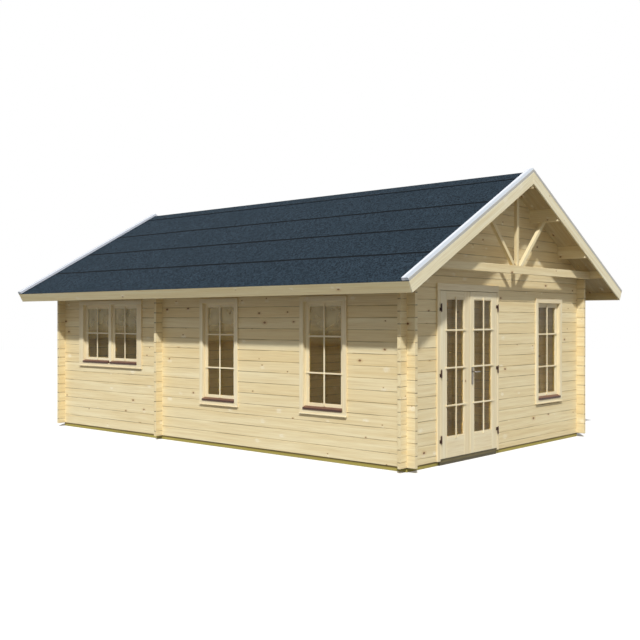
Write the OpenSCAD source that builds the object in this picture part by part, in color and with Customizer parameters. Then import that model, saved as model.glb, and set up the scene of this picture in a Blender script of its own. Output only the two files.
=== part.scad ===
// Log cabin with two rooms: notched and tongued wall logs, purlin roof, double door and bar windows.
// Millimetres. +Z is up, the door gable faces -Y, and the ridge runs along Y.

/* [Walls] */
// Width over the outer faces of the side walls
cabin_w = 4090; // [3800:10:4600]
// Length over the outer faces of the gable walls
cabin_l = 6560; // [6500:10:7600]
// Height of one log course
log_h = 135; // [125:1:145]
// Thickness of a log
log_t = 45; // [40:1:60]
// Length of the log ends past a crossing wall
log_end = 110; // [80:1:150]
// Chamfer along each edge of a log
log_chamfer = 5; // [2:0.5:8]
// Width of the tongue along the top of a log
tongue_w = 15; // [10:1:20]
// Height of the tongue along the top of a log
tongue_h = 8; // [4:1:12]
// Full courses in a side wall
side_courses = 16; // [16:1:18]
// Height of the bevelled top plate at the wall's outer face
plate_h = 87; // [60:1:100]
// Clear length of the back room, behind the inner cross wall
back_room_l = 2327; // [2200:1:2500]
// Width of the doorway in the cross wall
inner_door_w = 800; // [700:5:900]
// Courses of logs beside the doorway in the cross wall
inner_door_courses = 14; // [13:1:14]

/* [Base and floor] */
// Height of the foundation beams
base_h = 50; // [40:1:80]
// Width of the foundation beams
beam_w = 70; // [60:1:100]
// Set-back of the foundation beams behind the wall face
beam_setback = 12; // [4:1:20]
// Width of the floor bearers
bearer_w = 45; // [35:1:60]
// Largest spacing of the floor bearers
bearer_pitch = 560; // [400:10:700]
// Thickness of the floor boards
floor_t = 26; // [18:1:32]
// Gap between the floor boards and the walls
floor_gap = 8; // [5:1:12]

/* [Roof] */
// Pitch of the roof in degrees
roof_pitch = 28.7; // [26:0.1:32]
// Reach of the roof past a gable wall
gable_overhang = 412; // [360:1:480]
// Reach of the roof past a side wall, to the lower edge of the fascia
eave_overhang = 462; // [380:1:520]
// Thickness of the roof boards
deck_t = 20; // [16:1:26]
// Depth of the barge and fascia boards below the roof boards
barge_drop = 108; // [90:1:130]
// Thickness of the barge and fascia boards
barge_t = 20; // [16:1:28]
// Thickness of one layer of roofing felt
felt_t = 5; // [3:0.5:8]
// Exposed length of the felt course at the eave
felt_eave_course = 721; // [600:1:760]
// Exposed length of the other felt courses
felt_course = 675; // [600:1:700]
// Width of the ridge felt on each slope
ridge_cap_w = 205; // [150:1:260]
// Width of the verge trim
trim_w = 88; // [70:1:120]
// Height of the verge trim above the felt
trim_h = 32; // [20:1:40]
// Thickness of the sheet that the verge trim is folded from
trim_sheet_t = 3; // [2:0.5:4]
// Bevel along the outer edge of the verge trim
trim_bevel = 12; // [6:1:16]
// Width of a purlin
purlin_w = 60; // [50:1:80]
// Height of a side purlin at its inner face
purlin_h = 165; // [140:1:190]
// Height of the ridge purlin
ridge_purlin_h = 176; // [150:1:190]
// Distance from the centre to the inner face of an upper purlin
upper_purlin_x = 650; // [560:1:720]
// Distance from the centre to the inner face of a lower purlin
lower_purlin_x = 1430; // [1300:1:1500]

/* [Gable truss] */
// Distance from the front wall's outer face to the truss centre
truss_out = 175; // [120:1:230]
// Depth of the truss timbers
truss_t = 45; // [35:1:60]
// Height of the tie beam
tie_h = 100; // [80:1:120]
// Width of the king post
king_w = 45; // [35:1:70]
// Width of a strut
strut_w = 50; // [40:1:60]
// Distance from the centre to the foot of a strut
strut_foot_x = 90; // [80:1:120]

/* [Door] */
// Distance from the left wall's outer face to the centre of the double door
door_d = 1235; // [1160:1:1300]
// Width of one door leaf
leaf_w = 607; // [580:1:620]
// Height of a door leaf
leaf_h = 1901; // [1860:1:1910]
// Thickness of a door leaf
leaf_t = 40; // [34:1:48]
// Width of the leaf stiles
stile_w = 122; // [105:1:135]
// Width of the right leaf's stile beside the meeting gap
lock_stile_w = 82; // [70:1:120]
// Height of the leaf top rail
top_rail_h = 90; // [75:1:120]
// Height of the leaf bottom rail
bottom_rail_h = 235; // [180:1:280]
// Running gap round the leaves
edge_gap = 5; // [5:0.5:7]
// Running gap between the leaves
meet_gap = 10; // [10:0.5:12]
// Set-back of the leaf behind the face of the casing
leaf_setback = 2; // [0:0.5:5]
// Height of the door threshold
threshold_h = 19; // [14:1:24]
// Reach of the stop strips over the leaf edges
stop_reach = 12; // [8:1:16]
// Height of the casing board over the door
door_head_casing_h = 80; // [60:1:90]
// Width of the casing board right of the door
right_casing_w = 36; // [34:1:60]

/* [Hinges and handle] */
// Diameter of a hinge barrel
barrel_d = 16; // [13:0.5:20]
// Height of one hinge knuckle
knuckle_h = 38; // [30:1:48]
// Diameter of a hinge pin
pin_d = 8; // [6:0.5:9]
// Reach of a hinge pin into the upper knuckle
pin_reach = 24; // [16:1:24]
// Width of a hinge flap
flap_w = 26; // [20:1:34]
// Thickness of a hinge flap
flap_t = 3; // [2:0.5:4]
// Clear room between a hinge barrel and the casing
barrel_room = 4; // [3:0.5:6]
// Height of the lowest hinge above the foot of the leaf
hinge_low = 180; // [140:1:260]
// Height of the top hinge below the head of the leaf
hinge_top = 230; // [180:1:300]
// Height of the lever above the foot of the leaf
lever_z = 960; // [900:1:1020]
// Length of the lever from the spindle
lever_l = 102; // [85:1:130]
// Diameter of the lever
lever_d = 16; // [12:1:20]
// Reach of the lever from the face of its plate
lever_out = 44; // [36:1:56]
// Diameter of the lever's neck
neck_d = 18; // [14:1:20]
// Diameter of the spindle
spindle_d = 9; // [7:0.5:11]
// Width of the handle plate
handle_plate_w = 34; // [28:1:50]
// Height of the handle plate
handle_plate_h = 205; // [170:1:240]
// Thickness of the handle plate
handle_plate_t = 7; // [5:0.5:10]
// Radius of the handle plate's corners
handle_plate_r = 9; // [4:1:12]
// Distance from the lever up to the top of its plate
handle_plate_top = 55; // [45:1:80]

/* [Windows] */
// Width of the casing boards round doors and windows
casing_w = 60; // [50:1:76]
// Width of the upright casing boards beside the double window
double_casing_w = 108; // [90:1:120]
// Thickness of the casing boards
casing_t = 20; // [14:1:26]
// Thickness of the frame lining in the wall
lining_t = 40; // [30:1:48]
// Reach of the frame lining past the inner face of the wall
lining_in = 20; // [10:1:30]
// Clear width of a tall window
tall_clear_w = 606; // [540:1:640]
// Clear width of the double window
double_clear_w = 1306; // [1240:2:1420]
// Height of the window heads above the foundation beams
head_z = 1812; // [1790:1:1830]
// Height of a tall window's sill above the foundation beams
tall_sill_z = 540; // [480:1:600]
// Height of the double window's sill above the foundation beams
double_sill_z = 954; // [900:1:1000]
// Height of the board under a window sill
sill_board_h = 55; // [45:1:70]
// Reach of the drip lip past the sill board
lip_reach = 8; // [4:1:14]
// Height of the drip lip
lip_h = 12; // [8:1:18]
// Set-back of the sashes behind the wall face
sash_setback = 24; // [12:1:28]
// Thickness of the sashes
sash_t = 36; // [28:1:40]
// Width of the sash stiles and top rail
sash_w = 48; // [42:1:60]
// Height of the sash bottom rail
sash_foot_h = 70; // [60:1:85]
// Width of the mullion of the double window
mullion_w = 46; // [36:1:60]
// Height of the weather bar against the foot of a sash
weather_bar_h = 40; // [34:1:55]
// Height of the weather bar's front face
weather_bar_face_h = 22; // [16:1:30]
// Reach of the weather bar past the sash
weather_bar_out = 53; // [40:1:65]
// Thickness of the glass
glass_t = 5; // [4:0.5:8]
// Distance from the right wall's outer face to the centre of the front window
front_window_d = 888; // [800:1:920]
// Distance between the centres of the two tall windows in the left wall
side_window_pitch = 1794; // [1600:1:2000]

/* [Hidden] */
// Clearance between seated pieces
fit = 0.3;
// Clearance between stacked and crossing logs
log_gap = 0.4;
// Room over the end of a hinge pin
pin_room = 3;
// Overshoot of cutting shapes
cut = 20;
$fn = 32;

half_w = cabin_w / 2;
half_l = cabin_l / 2;
inner_x = half_w - log_t;
inner_y = half_l - log_t;
cross_y = inner_y - back_room_l - log_t;

rise = tan(roof_pitch);
plate_z = base_h + side_courses * log_h;
apex_z = plate_z + plate_h + half_w * rise;
roof_end = half_l + gable_overhang;
eave_s = (half_w + eave_overhang + barge_drop * sin(roof_pitch)) / cos(roof_pitch);
felt_bed = deck_t + fit;
lap_p = felt_bed + 2 * felt_t;
felt_laps = [for (i = [0 : 2]) eave_s - felt_eave_course - i * felt_course];
gable_courses = floor((apex_z - base_h) / log_h);
upper_purlin_z = apex_z - upper_purlin_x * rise - purlin_h;
ridge_purlin_z = apex_z - ridge_purlin_h;

door_x = door_d - half_w;
door_w = 2 * leaf_w + meet_gap;
door_clear = door_w + 2 * edge_gap;
leaf_z = base_h + threshold_h + edge_gap;
door_head_z = leaf_z + leaf_h + edge_gap;
leaf_y = -half_l - casing_t + leaf_setback;
left_leaf_x = door_x - door_w / 2;
right_leaf_x = door_x + meet_gap / 2;
hinge_y = -half_l - casing_t - barrel_room - barrel_d / 2;
hinge_x = door_w / 2 + edge_gap / 2;
hinge_heights = [
  leaf_z + hinge_low,
  leaf_z + (hinge_low + leaf_h - hinge_top) / 2,
  leaf_z + leaf_h - hinge_top
];
spindle_x = right_leaf_x + lock_stile_w / 2;
spindle_z = leaf_z + lever_z;
lever_y = handle_plate_t + lever_out;

front_window_x = half_w - front_window_d;
front_room_y = (cross_y - inner_y) / 2;
near_y = front_room_y - side_window_pitch / 2;
far_y = front_room_y + side_window_pitch / 2;
double_y = inner_y - back_room_l / 2;
tall_sash_w = tall_clear_w - 2 * fit;
double_sash_w = (double_clear_w - mullion_w) / 2 - 2 * fit;
double_sash_x = (double_clear_w + mullion_w) / 4;

wood = "#E3D1A0";
trim_wood = "#EBDDB4";
treated = "#8C8146";
felt = "#333F4B";
pale_trim = "#DDE3EC";
dark_brown = "#4A2A20";
steel = "#B9BCC0";
pane = "#7A828066";

// A block from its two corners
module block(low, high) {
  translate(low)
    cube(high - low);
}

// A section drawn in x and z, carried along y
module along_y(y0, y1) {
  translate([0, y1, 0])
    rotate([90, 0, 0])
      linear_extrude(y1 - y0)
        children();
}

// A section drawn in y and z, carried along x
module along_x(x0, x1) {
  translate([x0, 0, 0])
    rotate([90, 0, 90])
      linear_extrude(x1 - x0)
        children();
}

// The same piece on the left and the right
module both_sides() {
  children();
  mirror([1, 0, 0])
    children();
}

// Roof height at a distance from the centre, at the underside of the roof boards
function roof_z(x) = apex_z - abs(x) * rise;

// A point of the right slope: s down the slope from the ridge, p square to it above the boards' underside
function slope_point(s, p) = [
  s * cos(roof_pitch) + p * sin(roof_pitch),
  apex_z - s * sin(roof_pitch) + p * cos(roof_pitch)
];

// A point of the right slope on the upright plane of the ridge joint
function ridge_point(p) = [fit / 2, apex_z - fit / 2 * rise + p / cos(roof_pitch)];

// A layer of the right slope from the ridge joint down to s, between two heights
module slope_layer(p0, p1, s) {
  polygon([ridge_point(p0), ridge_point(p1), slope_point(s, p1), slope_point(s, p0)]);
}

// The space under the roof boards, seen along the ridge
module under_roof() {
  reach = half_w + log_end + cut;
  top = apex_z - fit / cos(roof_pitch);
  polygon([[-reach, 0], [reach, 0], [reach, top - reach * rise], [0, top], [-reach, top - reach * rise]]);
}

// Section of a log from zb to zt, chamfered, with a tongue on top and a groove below
module log_section(zb, zt, groove, tongue) {
  c = log_chamfer;
  g = groove ? tongue_w / 2 + log_gap : 0;
  w = tongue ? tongue_w / 2 : 0;
  mid = log_t / 2;
  gz = zb + (groove ? tongue_h : 0);
  wz = zt + (tongue ? tongue_h : 0);
  polygon(concat(
    [[0, zb + c], [c, zb]],
    groove ? [[mid - g, zb], [mid - g, gz], [mid + g, gz], [mid + g, zb]] : [],
    [[log_t - c, zb], [log_t, zb + c], [log_t, zt - c], [log_t - c, zt]],
    tongue ? [[mid + w, zt], [mid + w, wz], [mid - w, wz], [mid - w, zt]] : [],
    [[c, zt], [0, zt - c]]
  ));
}

// Half-lap notches a quarter of a course deep, above and below, where a crossing wall passes at x
module notches(x, slot_z) {
  x0 = x - log_gap;
  x1 = x + log_t + log_gap;
  block([x0, -cut, slot_z - cut], [x1, log_t + cut, slot_z + log_h / 4]);
  block([x0, -cut, slot_z + log_h * 3 / 4 - log_gap], [x1, log_t + cut, slot_z + log_h + cut]);
}

// One notched log along x, in its course from slot_z up
module log(x0, x1, slot_z, crossings) {
  first = slot_z <= base_h;
  difference() {
    along_x(x0, x1)
      log_section(max(slot_z, base_h), slot_z + log_h - log_gap, !first, true);
    for (x = crossings)
      notches(x, slot_z);
  }
}

// The bevelled top plate of a side wall, along x, with its low outer edge at y = 0
module top_plate() {
  end = roof_end - barge_t - fit;
  top = plate_z + plate_h - fit / cos(roof_pitch);
  g = tongue_w / 2 + log_gap;
  mid = log_t / 2;
  difference() {
    along_x(-end, end)
      polygon([
        [0, plate_z + log_chamfer], [log_chamfer, plate_z],
        [mid - g, plate_z], [mid - g, plate_z + tongue_h], [mid + g, plate_z + tongue_h], [mid + g, plate_z],
        [log_t - log_chamfer, plate_z], [log_t, plate_z + log_chamfer],
        [log_t, top + log_t * rise], [0, top]
      ]);
    for (x = cross_places())
      block([x - log_gap, -cut, plate_z - cut], [x + log_t + log_gap, log_t + cut, plate_z + log_h / 4]);
  }
}

// Where the gable walls and the cross wall pass through a side wall
function cross_places() = [-half_l, cross_y, inner_y];

// A whole side wall of logs, along x, with its outer face at y = 0
module side_wall_logs() {
  end = half_l + log_end;
  for (k = [0 : side_courses - 1])
    log(-end, end, base_h + k * log_h, cross_places());
  top_plate();
}

// A whole gable wall of logs up to the roof, along x, with its faces at y = 0 and log_t
module gable_wall_logs() {
  side_places = [-half_w, inner_x];
  end = half_w + log_end;
  inner_end = inner_x - fit;
  difference() {
    union() {
      for (k = [0 : side_courses - 1])
        log(-end, end, base_h + (k - 0.5) * log_h, side_places);
      intersection() {
        union() {
          log(-end, end, plate_z - log_h / 2, side_places);
          for (k = [side_courses + 1 : gable_courses - 1])
            log(-inner_end, inner_end, base_h + (k - 0.5) * log_h, []);
          along_x(-inner_end, inner_end)
            log_section(base_h + (gable_courses - 0.5) * log_h, apex_z + cut, true, false);
        }
        along_y(-cut, log_t + cut)
          under_roof();
      }
    }
    along_y(-cut, log_t + cut)
      purlin_sections(log_gap);
  }
}

// Section of a side purlin with its inner face at x, grown by a clearance
module side_purlin_section(x, room) {
  x0 = x - room;
  x1 = x + purlin_w + room;
  z0 = roof_z(x) - purlin_h - room;
  drop = fit / cos(roof_pitch) - room;
  polygon([[x0, z0], [x1, z0], [x1, roof_z(x1) - drop], [x0, roof_z(x0) - drop]]);
}

// Section of the ridge purlin, grown by a clearance
module ridge_purlin_section(room) {
  x = purlin_w / 2 + room;
  z0 = ridge_purlin_z - room;
  drop = fit / cos(roof_pitch) - room;
  polygon([[-x, z0], [x, z0], [x, roof_z(x) - drop], [0, apex_z - drop], [-x, roof_z(x) - drop]]);
}

// Sections of all five purlins, grown by a clearance
module purlin_sections(room) {
  ridge_purlin_section(room);
  both_sides() {
    side_purlin_section(upper_purlin_x, room);
    side_purlin_section(lower_purlin_x, room);
  }
}

// The cut in a wall for a window with this clear width and sill height, centred at x
module window_cut(x, clear_w, sill_z) {
  side = clear_w / 2 + lining_t + fit;
  block(
    [x - side, -cut, base_h + sill_z - lining_t - fit],
    [x + side, log_t + cut, base_h + head_z + lining_t + fit]
  );
}

// Places a piece modelled along x onto the left wall, with y pointing into the room
module on_left_wall(y) {
  translate([-half_w, y, 0])
    rotate([0, 0, -90])
      children();
}

// Places a piece modelled along x onto the front wall, with y pointing into the room
module on_front_wall(x) {
  translate([x, -half_l, 0])
    children();
}

// Four boards round an opening: two upright, one over and one under, meeting with square joints
module surround(clear_w, z0, z1, board, foot, y0, y1) {
  x = clear_w / 2;
  both_sides()
    block([x, y0, z0 - foot], [x + board, y1, z1 + board]);
  block([-x + fit, y0, z1], [x - fit, y1, z1 + board]);
  if (foot > 0)
    block([-x + fit, y0, z0 - foot], [x - fit, y1, z0]);
}

module window_frame(clear_w, sill_z, mullion) {
  z0 = base_h + sill_z;
  z1 = base_h + head_z;
  depth = log_t + lining_in;
  surround(clear_w, z0, z1, lining_t, lining_t, 0, depth);
  if (mullion)
    block([-mullion_w / 2, 0, z0 + fit], [mullion_w / 2, depth, z1 - fit]);
}

module window_casing(clear_w, sill_z, side_w) {
  z0 = base_h + sill_z;
  z1 = base_h + head_z;
  x = clear_w / 2;
  low = z0 - sill_board_h;
  both_sides()
    block([x, -casing_t, z0 + fit], [x + side_w, 0, z1]);
  block([-x - side_w, -casing_t, z1 + fit], [x + side_w, 0, z1 + casing_w]);
  along_x(-x - side_w, x + side_w)
    polygon([
      [0, low], [0, z0], [-casing_t, z0], [-casing_t, low + lip_h],
      [-casing_t - lip_reach, low + lip_h], [-casing_t - lip_reach, low]
    ]);
}

// One sash of a given width centred at x: two stiles between two rails
module sash(x, w, sill_z) {
  z0 = base_h + sill_z + fit;
  z1 = base_h + head_z - fit;
  y0 = sash_setback;
  y1 = sash_setback + sash_t;
  translate([x, 0, 0]) {
    both_sides()
      block([w / 2 - sash_w, y0, z0], [w / 2, y1, z1]);
    block([-w / 2 + sash_w + fit, y0, z0], [w / 2 - sash_w - fit, y1, z0 + sash_foot_h]);
    block([-w / 2 + sash_w + fit, y0, z1 - sash_w], [w / 2 - sash_w - fit, y1, z1]);
  }
}

module sash_glass(x, w, sill_z) {
  mid = sash_setback + sash_t / 2;
  side = w / 2 - sash_w - fit;
  block(
    [x - side, mid - glass_t / 2, base_h + sill_z + sash_foot_h + 2 * fit],
    [x + side, mid + glass_t / 2, base_h + head_z - sash_w - 2 * fit]
  );
}

// The dark drip bar along the foot of a sash
module weather_bar(x, w, sill_z) {
  z0 = base_h + sill_z + fit;
  y = sash_setback - fit;
  along_x(x - w / 2, x + w / 2)
    polygon([
      [y, z0], [y, z0 + weather_bar_h],
      [y - weather_bar_out, z0 + weather_bar_face_h], [y - weather_bar_out, z0]
    ]);
}

// Stiles, rails and one glazed field of a door leaf that reaches from x = 0 to leaf_w
module leaf_frame(left_stile, right_stile) {
  z1 = leaf_z + leaf_h;
  y1 = leaf_y + leaf_t;
  x0 = left_stile + fit;
  x1 = leaf_w - right_stile - fit;
  block([0, leaf_y, leaf_z], [left_stile, y1, z1]);
  block([leaf_w - right_stile, leaf_y, leaf_z], [leaf_w, y1, z1]);
  block([x0, leaf_y, leaf_z], [x1, y1, leaf_z + bottom_rail_h]);
  block([x0, leaf_y, z1 - top_rail_h], [x1, y1, z1]);
}

module leaf_glass(left_stile, right_stile) {
  mid = leaf_y + leaf_t / 2;
  block(
    [left_stile + fit, mid - glass_t / 2, leaf_z + bottom_rail_h + fit],
    [leaf_w - right_stile - fit, mid + glass_t / 2, leaf_z + leaf_h - top_rail_h - fit]
  );
}

// Lower knuckle of a left hinge with its pin, neck and flap on the casing
module frame_knuckle(z) {
  face = -half_l - casing_t;
  translate([0, hinge_y, z]) {
    cylinder(d = barrel_d, h = knuckle_h);
    cylinder(d = pin_d, h = knuckle_h + fit + pin_reach);
  }
  block([-flap_t, hinge_y, z], [0, face, z + knuckle_h]);
  block([-flap_w, face - flap_t, z], [0, face, z + knuckle_h]);
}

// Upper knuckle of a left hinge, bored for the pin, with its neck and flap on the leaf
module leaf_knuckle(z) {
  z0 = z + knuckle_h + fit;
  z1 = z0 + knuckle_h;
  edge = edge_gap / 2;
  difference() {
    union() {
      translate([0, hinge_y, z0])
        cylinder(d = barrel_d, h = knuckle_h);
      block([0, hinge_y, z0], [edge + flap_t, leaf_y, z1]);
      block([edge, leaf_y - flap_t, z0], [edge + flap_w, leaf_y, z1]);
    }
    translate([0, hinge_y, z0 - cut])
      cylinder(d = pin_d + 2 * fit, h = cut + pin_reach + pin_room);
  }
}

// Mirrors a piece of the left half of the door to the right half
module door_mirror() {
  translate([2 * door_x, 0, 0])
    mirror([1, 0, 0])
      children();
}

module foundation_beams() {
  x = half_w - beam_setback;
  y = half_l - beam_setback;
  mid = cross_y + log_t / 2;
  color(treated) {
    both_sides()
      block([x - beam_w, -y, 0], [x, y, base_h]);
    for (y0 = [-y, mid - beam_w / 2, y - beam_w])
      block([-x + beam_w + fit, y0, 0], [x - beam_w - fit, y0 + beam_w, base_h]);
  }
}

// Bearers evenly spaced across a room, between two cross beams
module room_bearers(y0, y1) {
  x = half_w - beam_setback - beam_w;
  count = ceil(2 * x / bearer_pitch) - 1;
  for (i = [1 : count]) {
    mid = -x + 2 * x * i / (count + 1);
    block([mid - bearer_w / 2, y0 + fit, 0], [mid + bearer_w / 2, y1 - fit, base_h]);
  }
}

module floor_bearers() {
  y = half_l - beam_setback - beam_w;
  mid = cross_y + log_t / 2;
  color(treated) {
    room_bearers(-y, mid - beam_w / 2);
    room_bearers(mid + beam_w / 2, y);
  }
}

module room_floor(y0, y1) {
  x = inner_x - floor_gap;
  color(wood)
    block([-x, y0 + floor_gap, base_h], [x, y1 - floor_gap, base_h + floor_t]);
}

module front_room_floor() {
  room_floor(-half_l + log_t + lining_in, cross_y);
}

module back_room_floor() {
  room_floor(cross_y + log_t, inner_y);
}

module front_wall() {
  side = door_clear / 2 + lining_t + fit;
  color(wood)
    translate([0, -half_l, 0])
      difference() {
        gable_wall_logs();
        block([door_x - side, -cut, 0], [door_x + side, log_t + cut, door_head_z + lining_t + fit]);
        window_cut(front_window_x, tall_clear_w, tall_sill_z);
      }
}

module back_wall() {
  color(wood)
    translate([0, inner_y, 0])
      gable_wall_logs();
}

module cross_wall() {
  side = inner_door_w / 2;
  head = base_h + (inner_door_courses + 0.5) * log_h - log_gap / 2;
  color(wood)
    translate([0, cross_y, 0])
      difference() {
        gable_wall_logs();
        block([-side, -cut, 0], [side, log_t + cut, head]);
      }
}

module left_wall() {
  color(wood)
    mirror([1, 0, 0])
      difference() {
        right_wall_logs();
        translate([half_w, 0, 0])
          rotate([0, 0, 90]) {
            window_cut(near_y, tall_clear_w, tall_sill_z);
            window_cut(far_y, tall_clear_w, tall_sill_z);
            window_cut(double_y, double_clear_w, double_sill_z);
          }
      }
}

module right_wall_logs() {
  translate([half_w, 0, 0])
    rotate([0, 0, 90])
      side_wall_logs();
}

module right_wall() {
  color(wood)
    right_wall_logs();
}

module purlin_run() {
  end = roof_end - barge_t - fit;
  along_y(-end, end)
    children();
}

module ridge_purlin() {
  color(wood)
    purlin_run()
      ridge_purlin_section(0);
}

module upper_purlins() {
  color(wood)
    purlin_run()
      both_sides()
        side_purlin_section(upper_purlin_x, 0);
}

module lower_purlins() {
  color(wood)
    purlin_run()
      both_sides()
        side_purlin_section(lower_purlin_x, 0);
}

module roof_deck_right() {
  end = roof_end - barge_t - fit;
  color(wood)
    along_y(-end, end)
      slope_layer(0, deck_t, eave_s - barge_t - fit);
}

module roof_deck_left() {
  mirror([1, 0, 0])
    roof_deck_right();
}

// Felt courses lapped like shingles: each lower edge lies on the course below it
module felt_right() {
  end = roof_end - trim_sheet_t - fit;
  color(felt)
    along_y(-end, end)
      polygon(concat(
        [ridge_point(felt_bed), slope_point(eave_s, felt_bed), slope_point(eave_s, felt_bed + felt_t)],
        [for (s = felt_laps) each [slope_point(s, felt_bed + felt_t), slope_point(s, lap_p)]],
        [ridge_point(felt_bed + felt_t)]
      ));
}

module felt_left() {
  mirror([1, 0, 0])
    felt_right();
}

// Felt folded over the ridge, between the verge trims
module ridge_cap() {
  end = roof_end - trim_w - fit;
  top_lap = felt_laps[len(felt_laps) - 1];
  p0 = felt_bed + felt_t + fit + (lap_p - felt_bed - felt_t) * ridge_cap_w / top_lap;
  p1 = p0 + felt_t;
  low = [slope_point(ridge_cap_w, p0), slope_point(ridge_cap_w, p1)];
  top = [apex_z + p0 / cos(roof_pitch), apex_z + p1 / cos(roof_pitch)];
  color(felt)
    along_y(-end, end)
      polygon([
        [0, top[0]], low[0], low[1], [0, top[1]],
        [-low[1][0], low[1][1]], [-low[0][0], low[0][1]]
      ]);
}

module fascia_right() {
  end = roof_end - barge_t - fit;
  s = eave_s - barge_t;
  color(trim_wood)
    along_y(-end, end)
      polygon([
        slope_point(s, -barge_drop), slope_point(eave_s, -barge_drop),
        slope_point(eave_s, deck_t), slope_point(s, deck_t)
      ]);
}

module fascia_left() {
  mirror([1, 0, 0])
    fascia_right();
}

module barge_pair() {
  color(trim_wood)
    both_sides()
      along_y(0, barge_t)
        slope_layer(-barge_drop, deck_t, eave_s);
}

module front_barge_boards() {
  translate([0, -roof_end, 0])
    barge_pair();
}

module back_barge_boards() {
  translate([0, roof_end - barge_t, 0])
    barge_pair();
}

// Folded strip on the right slope of a verge that ends at y = 0: a cover, a leg down the felt's edge
// and a leg onto the felt, cut plumb at the ridge
module verge_strip() {
  t = trim_sheet_t;
  foot = lap_p + fit;
  top = foot + trim_h;
  inner_bevel = trim_bevel + t * (sqrt(2) - 1);
  over_ridge = 2 * trim_w;
  difference() {
    translate([0, 0, apex_z])
      rotate([0, roof_pitch, 0])
        along_x(-trim_w, eave_s)
          polygon([
            [0, felt_bed], [t, felt_bed], [t, top - inner_bevel], [inner_bevel, top - t],
            [trim_w - t, top - t], [trim_w - t, foot], [trim_w, foot],
            [trim_w, top], [trim_bevel, top], [0, top - trim_bevel]
          ]);
    block([-over_ridge, -cut, 0], [fit / 2, trim_w + cut, apex_z + over_ridge]);
  }
}

module front_verge_trim() {
  color(pale_trim)
    translate([0, -roof_end, 0])
      both_sides()
        verge_strip();
}

module back_verge_trim() {
  mirror([0, 1, 0])
    front_verge_trim();
}

// A truss timber from a section drawn in x and z
module truss_timber() {
  mid = -half_l - truss_out;
  along_y(mid - truss_t / 2, mid + truss_t / 2)
    children();
}

module tie_beam() {
  x = inner_x - fit;
  color(wood)
    truss_timber()
      intersection() {
        translate([-x, plate_z])
          square([2 * x, tie_h]);
        under_roof();
      }
}

module king_post() {
  z0 = plate_z + tie_h;
  color(wood)
    truss_timber()
      translate([-king_w / 2, z0])
        square([king_w, ridge_purlin_z - fit - z0]);
}

// Slanted struts from the tie beam to the underside of the upper purlins
module truss_struts() {
  z0 = plate_z + tie_h;
  x1 = upper_purlin_x + purlin_w / 2;
  z1 = upper_purlin_z - fit;
  run = x1 - strut_foot_x;
  climb = z1 - z0;
  half = strut_w / 2 * sqrt(run * run + climb * climb) / climb;
  color(wood)
    truss_timber()
      both_sides()
        polygon([
          [strut_foot_x - half, z0], [strut_foot_x + half, z0],
          [x1 + half, z1], [x1 - half, z1]
        ]);
}

// Jambs, head and stop strips of the door
module door_frame() {
  x = door_clear / 2;
  depth = log_t + lining_in;
  stop_y = leaf_y + leaf_t + edge_gap + half_l;
  stop = edge_gap + stop_reach;
  color(trim_wood)
    on_front_wall(door_x) {
      surround(door_clear, base_h, door_head_z, lining_t, 0, 0, depth);
      both_sides()
        block([x - stop, stop_y, base_h + threshold_h + fit], [x - fit, depth, door_head_z - fit]);
      block([-x + stop + fit, stop_y, door_head_z - stop], [x - stop - fit, depth, door_head_z - fit]);
    }
}

// Hardwood threshold with an apron in front of the foundation beam
module door_threshold() {
  x = door_clear / 2 - fit;
  depth = log_t + lining_in;
  back = beam_setback - fit;
  top = base_h + threshold_h;
  color(dark_brown)
    on_front_wall(door_x)
      along_x(-x, x)
        polygon([[0, 0], [back, 0], [back, base_h], [depth, base_h], [depth, top], [0, top]]);
}

module door_casing() {
  x = door_clear / 2;
  color(trim_wood)
    on_front_wall(door_x) {
      block([-x - casing_w, -casing_t, base_h], [-x, 0, door_head_z]);
      block([x, -casing_t, base_h], [x + right_casing_w, 0, door_head_z]);
      block(
        [-x - casing_w, -casing_t, door_head_z + fit],
        [x + right_casing_w, 0, door_head_z + door_head_casing_h]
      );
    }
}

module left_door_leaf() {
  color(trim_wood)
    translate([left_leaf_x, 0, 0])
      leaf_frame(stile_w, stile_w);
}

module left_door_glass() {
  color(pane)
    translate([left_leaf_x, 0, 0])
      leaf_glass(stile_w, stile_w);
}

module left_leaf_hinges() {
  color(dark_brown)
    translate([door_x - hinge_x, 0, 0])
      for (z = hinge_heights)
        leaf_knuckle(z);
}

// The right leaf, bored for the lever's spindle
module right_door_leaf() {
  color(trim_wood)
    difference() {
      translate([right_leaf_x, 0, 0])
        leaf_frame(lock_stile_w, stile_w);
      spindle(spindle_d + 2 * fit);
    }
}

module right_door_glass() {
  color(pane)
    translate([right_leaf_x, 0, 0])
      leaf_glass(lock_stile_w, stile_w);
}

module right_leaf_hinges() {
  door_mirror()
    left_leaf_hinges();
}

module frame_hinges() {
  color(dark_brown) {
    translate([door_x - hinge_x, 0, 0])
      for (z = hinge_heights)
        frame_knuckle(z);
    door_mirror()
      translate([door_x - hinge_x, 0, 0])
        for (z = hinge_heights)
          frame_knuckle(z);
  }
}

// A round bar through the right leaf on the lever's axis, as long as both levers reach
module spindle(d) {
  translate([spindle_x, leaf_y - lever_y, spindle_z])
    rotate([-90, 0, 0])
      cylinder(d = d, h = leaf_t + 2 * lever_y);
}

// A square from its lower corner with rounded corners
module rounded_square(size, r) {
  translate([r, 0])
    square([size[0] - 2 * r, size[1]]);
  translate([0, r])
    square([size[0], size[1] - 2 * r]);
  for (x = [r, size[0] - r], y = [r, size[1] - r])
    translate([x, y])
      circle(r);
}

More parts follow.
